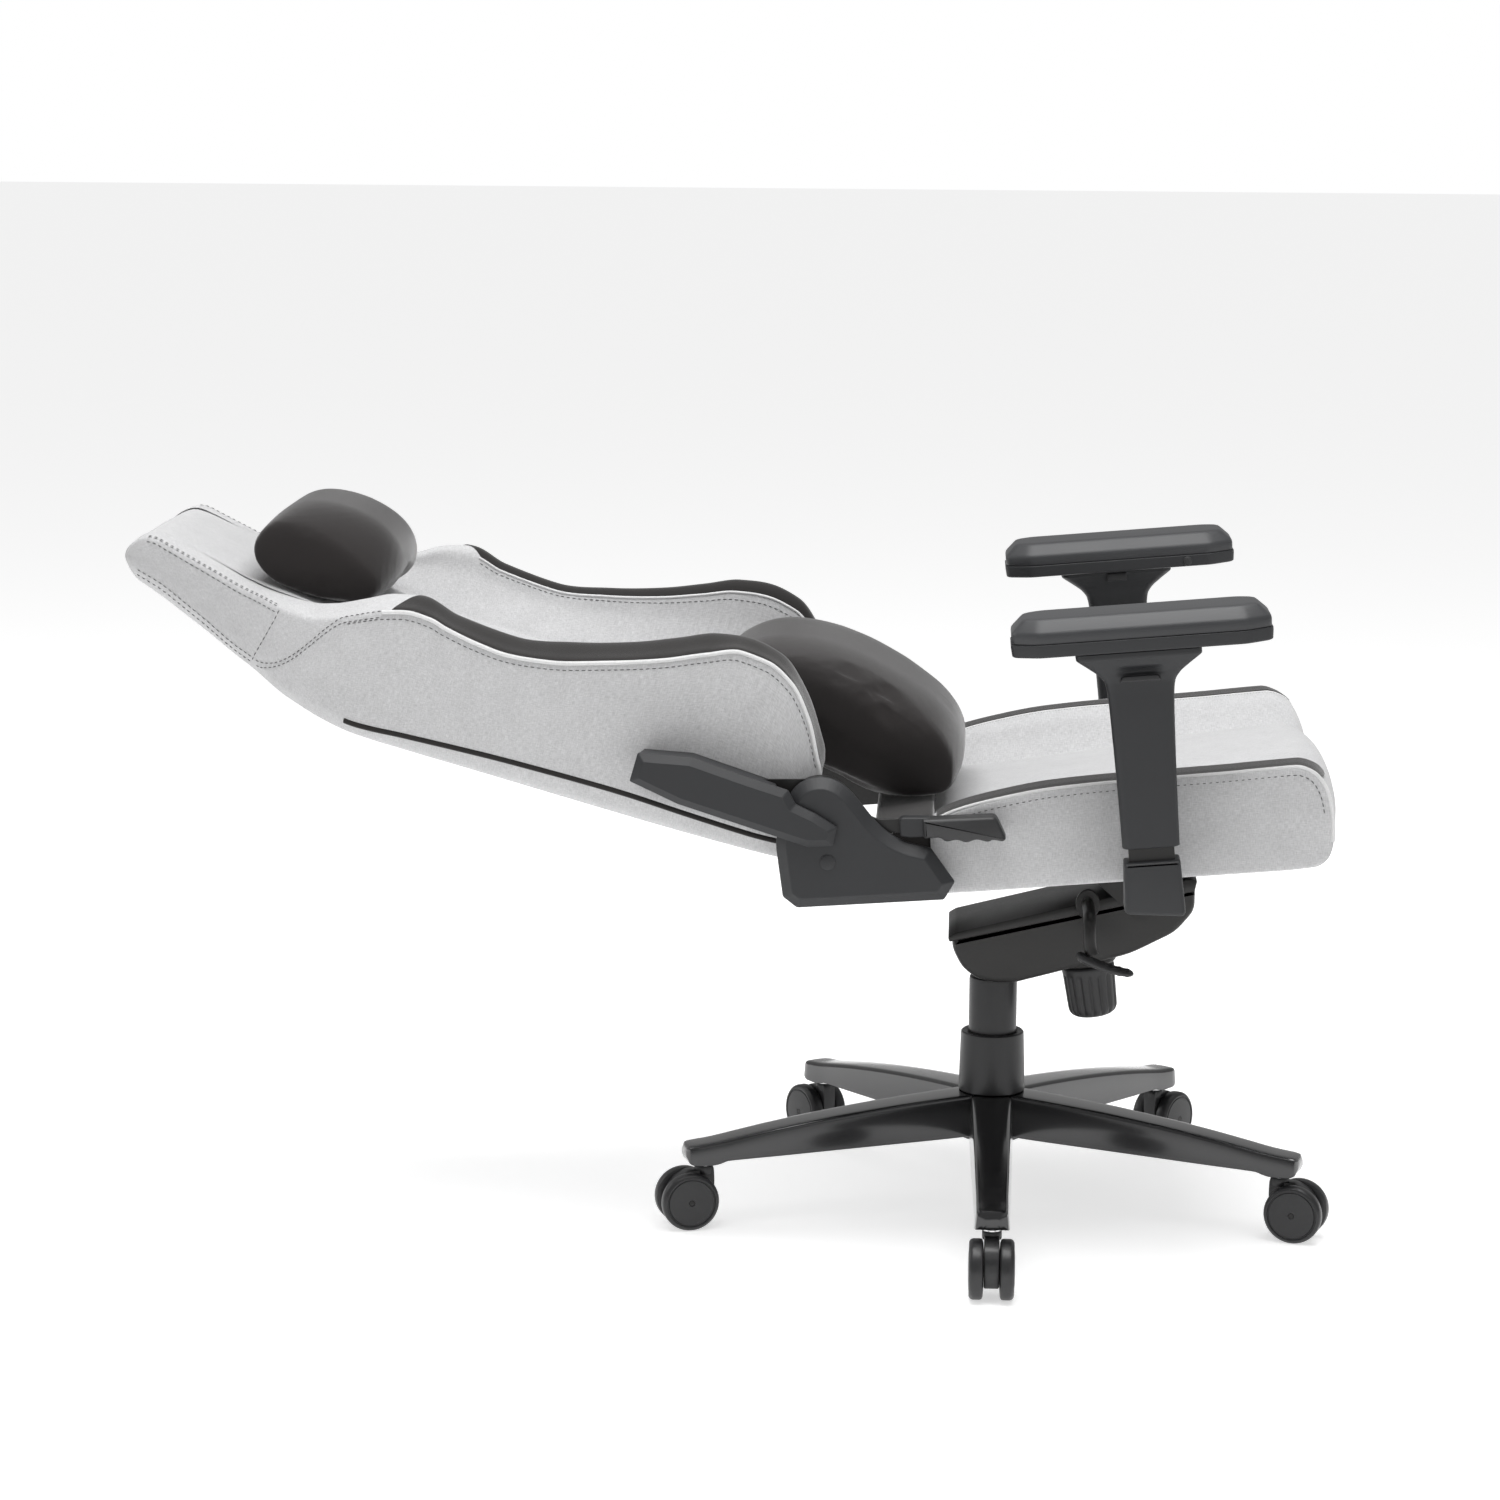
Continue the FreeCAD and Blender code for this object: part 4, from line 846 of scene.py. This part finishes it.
top_columns = np.linspace(outline_column[3] - 1, outline_column[12] - 0.5, 150)
seat_rows_of_stitches = []
for side, name in ((-1, "right"), (1, "left")):
    spread = np.linspace(0, 1, 13)
    ending = top_columns[0] + (top_columns - top_columns[0])[:, None] * (1 - 0.02 * (2 * spread - 1) ** 4)
    across = side * (213.5 + (249.2 - 213.5) * spread)[None] + 0 * ending
    points, normals = seat_surface.at(seat_row(across), ending)
    skin("seat_crest_strip_" + name, on_seat(band(points, normals, 1.1)), black_velour, "seat",
        sharp=60)
    for label, reach, low, high, radius in (("outer", 249.8, 2.0, 15.5, 2.1),
            ("inner", 213.0, 3.0, 12.0, 1.3)):
        columns = np.linspace(outline_column[int(low)], outline_column[int(high)], 220)
        points, normals = seat_surface.at(seat_row(side * reach), columns)
        tube = tube_points(points + normals * 0.5, radius, 10, (1, 0, 0.001))
        skin("seat_piping_%s_%s" % (label, name), on_seat(tube), piping_cloth, "seat")
    seam = inset(seat_shape[0][:, 1:], 8.0)[int(outline_column[3]) + 2:int(outline_column[14])]
    line = np.concatenate([np.full((len(seam), 1), side * 253.0), seam], 1)
    seat_rows_of_stitches.append((line, np.broadcast_to([side, 0, 0], line.shape)))
    points, normals = seat_surface.at(seat_row(side * 209.0), top_columns)
    seat_rows_of_stitches.append((points, normals))
stitched("seat_stitching", seat_rows_of_stitches, on_seat, thread, "seat")

# black cloth over the seat's rear edge, under the backrest
gusset = rounded([(58, 22), (117, 22), (117, 66), (112, 70), (58, 75)], (2, 5, 6, 6, 3), 5)
skin("seat_rear_gusset", on_seat(slab(gusset,
    [(-247, 6), (-246, 2.5), (-243, 0.6), (-238, 0), (238, 0), (243, 0.6), (246, 2.5),
                                               (247, 6)])), black_velour, "seat")


# ---- backrest trim ---------------------------------------------------------------------------------
# Black velour strips are sewn along the wings' crests between two rows of light piping; dark thread
# closes the shoulder and head seams in two rows; a black welt joins the side panels to the rear.
def back_row(y):
    return np.interp(y, back_rows, np.arange(len(back_rows)))


back_rows_of_stitches = []
rear_mark, edge_mark = REAR_KEY, EDGE_KEY
for side, name in ((-1, "right"), (1, "left")):
    spread = np.linspace(0, 1, 17)
    columns = INNER_KEY - 0.5 + (key_columns[9] + 0.2 - INNER_KEY + 0.5) * spread
    strip_end = 437 + 22 * spread - 16 * (1 - spread) ** 3
    y = 10 + (strip_end[None] - 10) * np.linspace(0, 1, 170)[:, None]
    surface = back_surface[side]
    points, normals = surface.at(back_row(y), columns[None] + 0 * y)
    skin("wing_crest_strip_" + name, on_back(band(points, normals, 1.3)), black_velour, "backrest",
        sharp=60)
    y = np.linspace(9, 466, 260)
    points, normals = surface.at(back_row(y), key_columns[9] + 0.6)
    skin("wing_piping_outer_" + name, on_back(tube_points(points + normals * 0.6, 2.1, 10, (1, 0, 0.001))),
        piping_cloth,
         "backrest")
    y = np.linspace(11, 424, 240)
    points, normals = surface.at(back_row(y), INNER_KEY - 0.8)
    skin("wing_piping_inner_" + name, on_back(tube_points(points + normals * 0.4, 1.4, 10, (1, 0, 0.001))),
        piping_cloth,
         "backrest")
    back_rows_of_stitches.append(surface.at(back_row(y), INNER_KEY - 2.2))
    y = np.linspace(24, 474, 260)
    points, normals = surface.at(back_row(y), rear_mark)
    skin("rear_welt_" + name, on_back(tube_points(points - normals * 0.4, 3.4, 12, (1, 0, 0.001))),
        black_velour, "backrest")
    y = np.linspace(16, 500, 260)
    back_rows_of_stitches.append(surface.at(back_row(y), edge_mark + 1.5))
    y = np.linspace(468, 585, 90)
    fall = np.clip((y - 500) / 85, 0, 1)
    seam = edge_mark + (rear_mark - edge_mark) * fall * fall * (3 - 2 * fall)
    for shift in (-1.2, 0.9):
        back_rows_of_stitches.append(surface.at(back_row(y), seam + shift))
    y = np.linspace(576, 728, 110)
    for shift in (-2.6, -1.2, 1.2):
        back_rows_of_stitches.append(surface.at(back_row(y), edge_mark + shift))
    for shift in (-1.3, 1.0):
        back_rows_of_stitches.append(surface.at(back_row(np.linspace(588, 728, 100)), rear_mark + shift))
    seam = np.linspace(edge_mark, rear_mark, 40)
    back_rows_of_stitches.append(surface.at(back_row(np.linspace(572, 586, 40)), seam))
stitched("backrest_stitching", back_rows_of_stitches, on_back, thread, "backrest")

# ---- recliners -------------------------------------------------------------------------------------
# Steel quadrant plates at both sides of the seat carry the backrest. Facetted nylon covers hide them:
# one on the seat with a round shoulder over the pivot, one along the backrest, and a handle on the right.
shell_plastic = hard_finish("dark_grey_nylon", (0.014, 0.0145, 0.016), (0.025, 0.026, 0.028), 0.52, 0.14,
    900, 0.00006,
                            Specular_IOR_Level=0.42)
seat_cover_outline = [
    (40, 18), (52, 1), (196, 3), (209, 15), (212, 70), (199, 110), (187, 125), (173, 131), (159, 131),
    (146, 126), (134, 115),
    (124, 100), (114, 85), (104, 74), (94, 66), (83, 60), (61, 53)]
SEAT_COVER_EASE = (2, 2, 2, 2, 9, 8, 7, 7, 7, 7, 8, 8, 7, 6, 6, 6, 2)
arm_cover_outline = [
    (186, -21), (186, 8), (135, 19), (75, 16), (36, 15), (25, 4), (5, 1), (-20, -6), (-21, -25), (2, -33),
    (135, -29)]
for side, name in ((-1, "right"), (1, "left")):
    cover = slab(seat_cover_outline, [(271, 1.5), (271.6, 0.3), (276.5, 0), (287, 10.5)], SEAT_COVER_EASE)
    eased(skin("recliner_seat_shell_" + name, on_seat(cover * (side, 1, 1)), shell_plastic, "seat",
               stands_for=("recliner_seat_cover_" + name,), sharp=25), 0.0009)
    plug = lathe([(0.3, 286.6), (6.6, 286.6), (7.4, 287.0), (7.4, 287.9), (6.6, 288.3), (0.3, 288.1)],
        40)[..., [2, 0, 1]]
    skin("recliner_plug_" + name, on_seat((plug + (0, 162, 48)) * (side, 1, 1)), shell_plastic, "seat")
    shield = slab(arm_cover_outline, [(288.6, 0.8), (289.2, 0), (293.0, 0), (299.4, 7.5)], 1.5)
    eased(skin("recliner_arm_shell_" + name, on_back(shield * (side, 1, 1)), shell_plastic, "backrest",
               stands_for=("recliner_arm_cover_" + name,), sharp=25), 0.0009)
    block = slab([(186, -21), (186, 8), (135, 19), (46, 15), (46, -32), (135, -29)], [
        (249.5, 3), (252, 3), (288.0, 0.5), (289.5, 1.5)], 2)
    eased(skin("recliner_arm_spacer_" + name, on_back(block * (side, 1, 1)), shell_plastic, "backrest",
        sharp=25),
          0.001)

handle_outline = rounded([(67, 64), (67, 83), (-3, 81), (-6, 77), (-13, 58), (-9, 55.5), (0, 58.5), (5, 56),
    (16, 60), (26, 56.8),
                          (35, 61), (46, 59), (51, 64)], (2, 2, 3, 3, 3, 3, 3, 4, 4, 4, 4, 4, 3), 5)
handle = slab(handle_outline, [(-286, 3.2), (-285.2, 1.4), (-283.4, 0.3), (-281, 0), (-264, 0),
    (-261.5, 0.5), (-260.3, 1.6),
                               (-260, 3)])
skin("recline_handle_grip", on_seat(handle), knob_plastic, "recline_lever",
    stands_for=("recline_lever",),
     sharp=50)
link = slab(rounded([(60, 66), (60, 82), (110, 84), (158, 108), (174, 108), (178, 88), (162, 83),
    (120, 72)], 3, 4),
            [(-269.8, 0.4), (-269.4, 0), (-267.1, 0), (-266.7, 0.4)])
skin("recline_handle_link", on_seat(link), black_steel, "recline_lever")
neck = slab(rounded([(60, 65), (60, 84), (86, 86), (90, 84), (90, 67), (80, 65)], 2, 4),
            [(-280, 1.5), (-279, 0.3), (-268, 0), (-266.8, 0.6)])
skin("recline_handle_neck", on_seat(neck), shell_plastic, "recline_lever")

# ---- armrests --------------------------------------------------------------------------------------
# Each armrest is a moulded sleeve that slides on a steel post bolted under the seat. It flares into a
# platform, on which a polyurethane pad slides and turns; a trigger and two keys free the motions.
pad_skin = hard_finish("armrest_polyurethane", (0.028, 0.029, 0.031), (0.042, 0.043, 0.046), 0.44, 0.10,
    1100, 0.00007,
                       Specular_IOR_Level=0.45)
ARM_X, ARM_Y, PAD_X = 310.0, -151.0, 298.0


def sleeve_grid():
    """Level outlines up the sleeve: rounded rectangles whose half length and half thickness follow a
    table that flares at the top; a lens-shaped hollow is pressed into the outer face above the
    trigger."""
    table = [(47, 27.5, 13), (100, 28.5, 13), (160, 30.2, 13), (196, 31.8, 13.2), (208, 33.6, 13.8),
        (216, 38.5, 15.6),
             (224, 47.5, 19.2), (230, 55, 22.8), (233.4, 59, 25), (234.6, 60, 26), (240.4, 60, 26)]
    level = np.concatenate([[47, 47.8], np.linspace(50, 196, 26), np.linspace(198, 233, 40),
        [234, 234.8, 237, 239.6, 240.4]])
    long, thick = through(table, level).T
    pull = np.where(level < 47.5, 1.2, 0) + np.where(level > 240, 1.0, 0)
    long, thick = long - pull, thick - pull
    rings = []
    for z, a, b in zip(level, long, thick):
        ring = evenly(rounded([(b, a), (-b, a), (-b, -a), (b, -a)], 8.5, 7), 112)
        hollow = 4.6 * np.exp(-((z - 221) / 4.0) ** 4) * np.exp(-(ring[:, 1] / 19) ** 4) * (ring[:, 0] > 0)
        rings.append(np.column_stack([ARM_X + ring[:, 0] - hollow, ARM_Y + ring[:, 1], np.full(112, z)]))
    return np.stack(rings)


def pad_rim(inward, width=94.0, length=250.0):
    """The pad from above: a rectangle with its corners cut, moved in."""
    half_x, half_y, middle = width / 2, length / 2, ARM_Y - 4
    corners = np.array([(half_x - 16, -half_y), (half_x, -half_y + 26), (half_x, half_y - 26),
        (half_x - 16, half_y),
                        (-half_x + 16, half_y), (-half_x, half_y - 26), (-half_x, -half_y + 26),
                        (-half_x + 16, -half_y)])
    return rounded(inset(corners, inward), 6, 5) + (PAD_X, middle)


def stacked(levels):
    """Pad outlines stood at their heights, from (height, inset) rows."""
    return np.stack([np.column_stack([pad_rim(inward), np.full(40, height)]) for height, inward in levels])


sleeve = sleeve_grid()
for side, name in ((-1, "right"), (1, "left")):
    mirror = (side, 1, 1)
    skin("armrest_sleeve_shell_" + name, on_seat(sleeve * mirror), shell_plastic, "armrest_" + name,
         stands_for=("armrest_sleeve_" + name,), sharp=50)
    trigger = evenly(rounded([(ARM_Y - 20, 210.4), (ARM_Y + 20, 210.4), (ARM_Y + 17, 216),
        (ARM_Y - 17, 216)], 2, 4), 48)
    skin("armrest_trigger_" + name, on_seat(slab(trigger,
        [(316, 0.5), (327.6, 0), (328.7, 0.5), (329, 1.4)]) * mirror),
         knob_plastic, "height_button_" + name,
         stands_for=("armrest_height_button_" + name,))
    key = rounded([(ARM_Y - 11, 227), (ARM_Y + 11, 227), (ARM_Y + 11, 236), (ARM_Y - 11, 236)], 1.6, 4)
    skin("armrest_key_" + name, on_seat(slab(key,
        [(282.5, 1.2), (282.9, 0.4), (283.6, 0), (292, 0)]) * mirror), knob_plastic,
         "side_button_" + name, stands_for=("armrest_side_button_" + name,))
    eased(skin("armrest_pad_tray_" + name,
        on_seat(stacked([(241.3, 3), (242.2, 1), (250.5, 0.2), (253.9, 0.2)]) * mirror),
               shell_plastic, "armrest_pad_" + name,
               stands_for=("armrest_pad_base_" + name,), sharp=30), 0.0008)
    pad = skin("armrest_pad_cushion_" + name, on_seat(stacked([
        (254.2, 2.0), (255.2, 1.4), (262.0, 1.2), (264.6, 1.8), (266.6, 3.4), (274.6, 11.4), (276.2, 13.4),
        (277.0, 16),
        (277.3, 22)]) * mirror), pad_skin, "armrest_pad_" + name,
        stands_for=("armrest_pad_" + name,), sharp=50)
    button = lathe([(0.3, 0), (4.2, 0), (4.9, 0.5), (5.0, 1.2), (5.0, 8), (0.3, 8)], 32)[..., [2, 0, 1]]
    skin("armrest_round_key_" + name, on_seat((button + (PAD_X - 48.2, ARM_Y - 4 - 125 + 52,
        247.4)) * mirror), knob_plastic,
         "round_button_" + name, stands_for=("armrest_round_button_" + name,))
    foot = rounded([(ARM_Y - 27, 34), (ARM_Y + 27, 34), (ARM_Y + 30, -16), (ARM_Y - 29, -22)], (2, 2, 6, 6),
        5)
    skin("armrest_foot_shell_" + name, on_seat(slab(foot,
        [(290, 4), (290.8, 1.6), (293, 0.3), (296, 0), (320, 0), (323.5, 0.4),
                                                           (325.3, 1.8), (326, 4)]) * mirror),
                                                           shell_plastic, "seat",
         stands_for=("armrest_foot_" + name,))
for node_name in [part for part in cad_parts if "bracket" in part or "_plate_" in part]:
    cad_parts[node_name].data.materials.clear()
    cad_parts[node_name].data.materials.append(black_steel)

# ---- pillows ---------------------------------------------------------------------------------------
# Two loose velour pillows over foam, each a sleeve closed by an oval end panel: the larger fills the
# small of the back between the wings, and the smaller is strapped to the head.
pillow_velour = velour("charcoal_velour", (0.010, 0.0085, 0.0085), (0.026, 0.0225, 0.0220))


def pillow_grid(end_outline, middle_outline, half, swell):
    """Outlines in stations across the pillow: the end panel's oval, nipped at its seam, grows to the
    middle's as the fourth root of a cosine, and the end panels bulge as half an ellipse."""
    end = evenly(rounded(end_outline, 14, 6), 120)
    middle = evenly(rounded(middle_outline, 18, 6), 120)
    centre = end.mean(0)
    rows = []
    for share, across in [(0.02, half), (0.3, half - 0.1), (0.55, half - 0.6), (0.75, half - 1.6),
            (0.88, half - 3.2), (0.96, half - 5.4),
                          (0.985, half - 7.4)]:
        rows.append(np.column_stack([np.full(120, across), centre + (end - centre) * share]))
    for t in np.concatenate([[0.0, 0.02, 0.05], np.linspace(0.1, 1, 19)]):
        grow = np.sin(np.pi / 2 * np.minimum(t * 1.6, 1)) ** 0.8
        shape = end + (middle - end) * grow
        across = (half - 8.5) * (1 - t)
        full = 1 + swell * grow
        rows.append(np.column_stack([np.full(120, across), centre + (shape - centre) * full]))
    rows = np.stack(rows)
    return np.concatenate([rows, (rows * (-1, 1, 1))[-2::-1]])


def plumped(pillow, cap, pressure=4.0):
    """Blown up a little as cloth: remeshed at 5 mm, run for 20 frames under pressure with no gravity, no
    point allowed further than cap metres from where it started, and smoothed by one subdivision."""
    depsgraph = bpy.context.evaluated_depsgraph_get
    bpy.context.view_layer.objects.active = pillow
    remesh = pillow.modifiers.new("remesh", "REMESH")
    remesh.mode, remesh.voxel_size = "VOXEL", 0.005
    even = bpy.data.meshes.new_from_object(pillow.evaluated_get(depsgraph()))
    pillow.modifiers.remove(remesh)
    pillow.data = even
    start = np.empty(len(even.vertices) * 3, np.float32)
    even.vertices.foreach_get("co", start)
    cloth = pillow.modifiers.new("cloth", "CLOTH")
    cloth.settings.use_pressure = True
    cloth.settings.uniform_pressure_force = pressure
    cloth.settings.effector_weights.gravity = 0
    cloth.settings.bending_stiffness = 2.0
    cloth.settings.mass = 0.4
    for step in range(1, 21):
        scene.frame_set(step)
    blown = bpy.data.meshes.new_from_object(pillow.evaluated_get(depsgraph()))
    moved = np.empty_like(start)
    blown.vertices.foreach_get("co", moved)
    pillow.modifiers.remove(cloth)
    shift = (moved - start).reshape(-1, 3)
    length = np.linalg.norm(shift, axis=1, keepdims=True)
    shift *= np.minimum(1, cap / np.maximum(length, 1e-9))
    even.vertices.foreach_set("co", (start.reshape(-1, 3) + shift).astype(np.float32).ravel())
    scene.frame_set(1)
    even.shade_smooth()
    finer = pillow.modifiers.new("finer", "SUBSURF")
    finer.levels = finer.render_levels = 1


LUMBAR_END = [(-126, 30), (-84, 12), (-54, 10), (4, 18), (110, 20), (128, 48), (112, 92), (78, 113),
    (46, 117), (-8, 112),
              (-51, 101), (-94, 86), (-117, 64)]
LUMBAR_MIDDLE = [(-136, 34), (-96, 10), (-54, 8), (5, 17), (126, 17), (142, 48), (132, 88), (108, 112),
    (82, 123), (46, 128),
                 (-6, 124), (-54, 113), (-98, 98), (-128, 72)]
HEAD_END = [(486, 58), (500, 40), (546, 34), (598, 37), (620, 54), (624, 70), (614, 92), (594, 102),
    (560, 102), (524, 91),
            (494, 75)]
HEAD_MIDDLE = [(474, 60), (492, 40), (546, 33), (600, 36), (620, 60), (618, 90), (600, 112), (574, 121),
    (538, 122), (502, 112),
               (480, 92)]
for label, ends, centre_outline, half, reach, body in (
        ("lumbar_pillow", LUMBAR_END, LUMBAR_MIDDLE, 148, 0.005, "lumbar_pillow"),
        ("headrest_pillow", HEAD_END, HEAD_MIDDLE, 131, 0.004, "headrest_pillow")):
    pillow = skin(label + "_cover", on_back(pillow_grid(ends, centre_outline, half, 0.0)), pillow_velour,
        body,
                  stands_for=(label,), sharp=80)
    plumped(pillow, reach)
    if label == "lumbar_pillow":
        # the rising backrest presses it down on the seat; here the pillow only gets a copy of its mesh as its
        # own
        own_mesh(pillow)

# ---- what stays of the CAD -------------------------------------------------------------------------
# Pressed and welded steel that shows only from below or behind the upholstery, painted black.
for node_name in ("seat_frame", "backrest_frame", "piston_tube"):
    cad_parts[node_name].data.materials.clear()
    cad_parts[node_name].data.materials.append(black_steel)
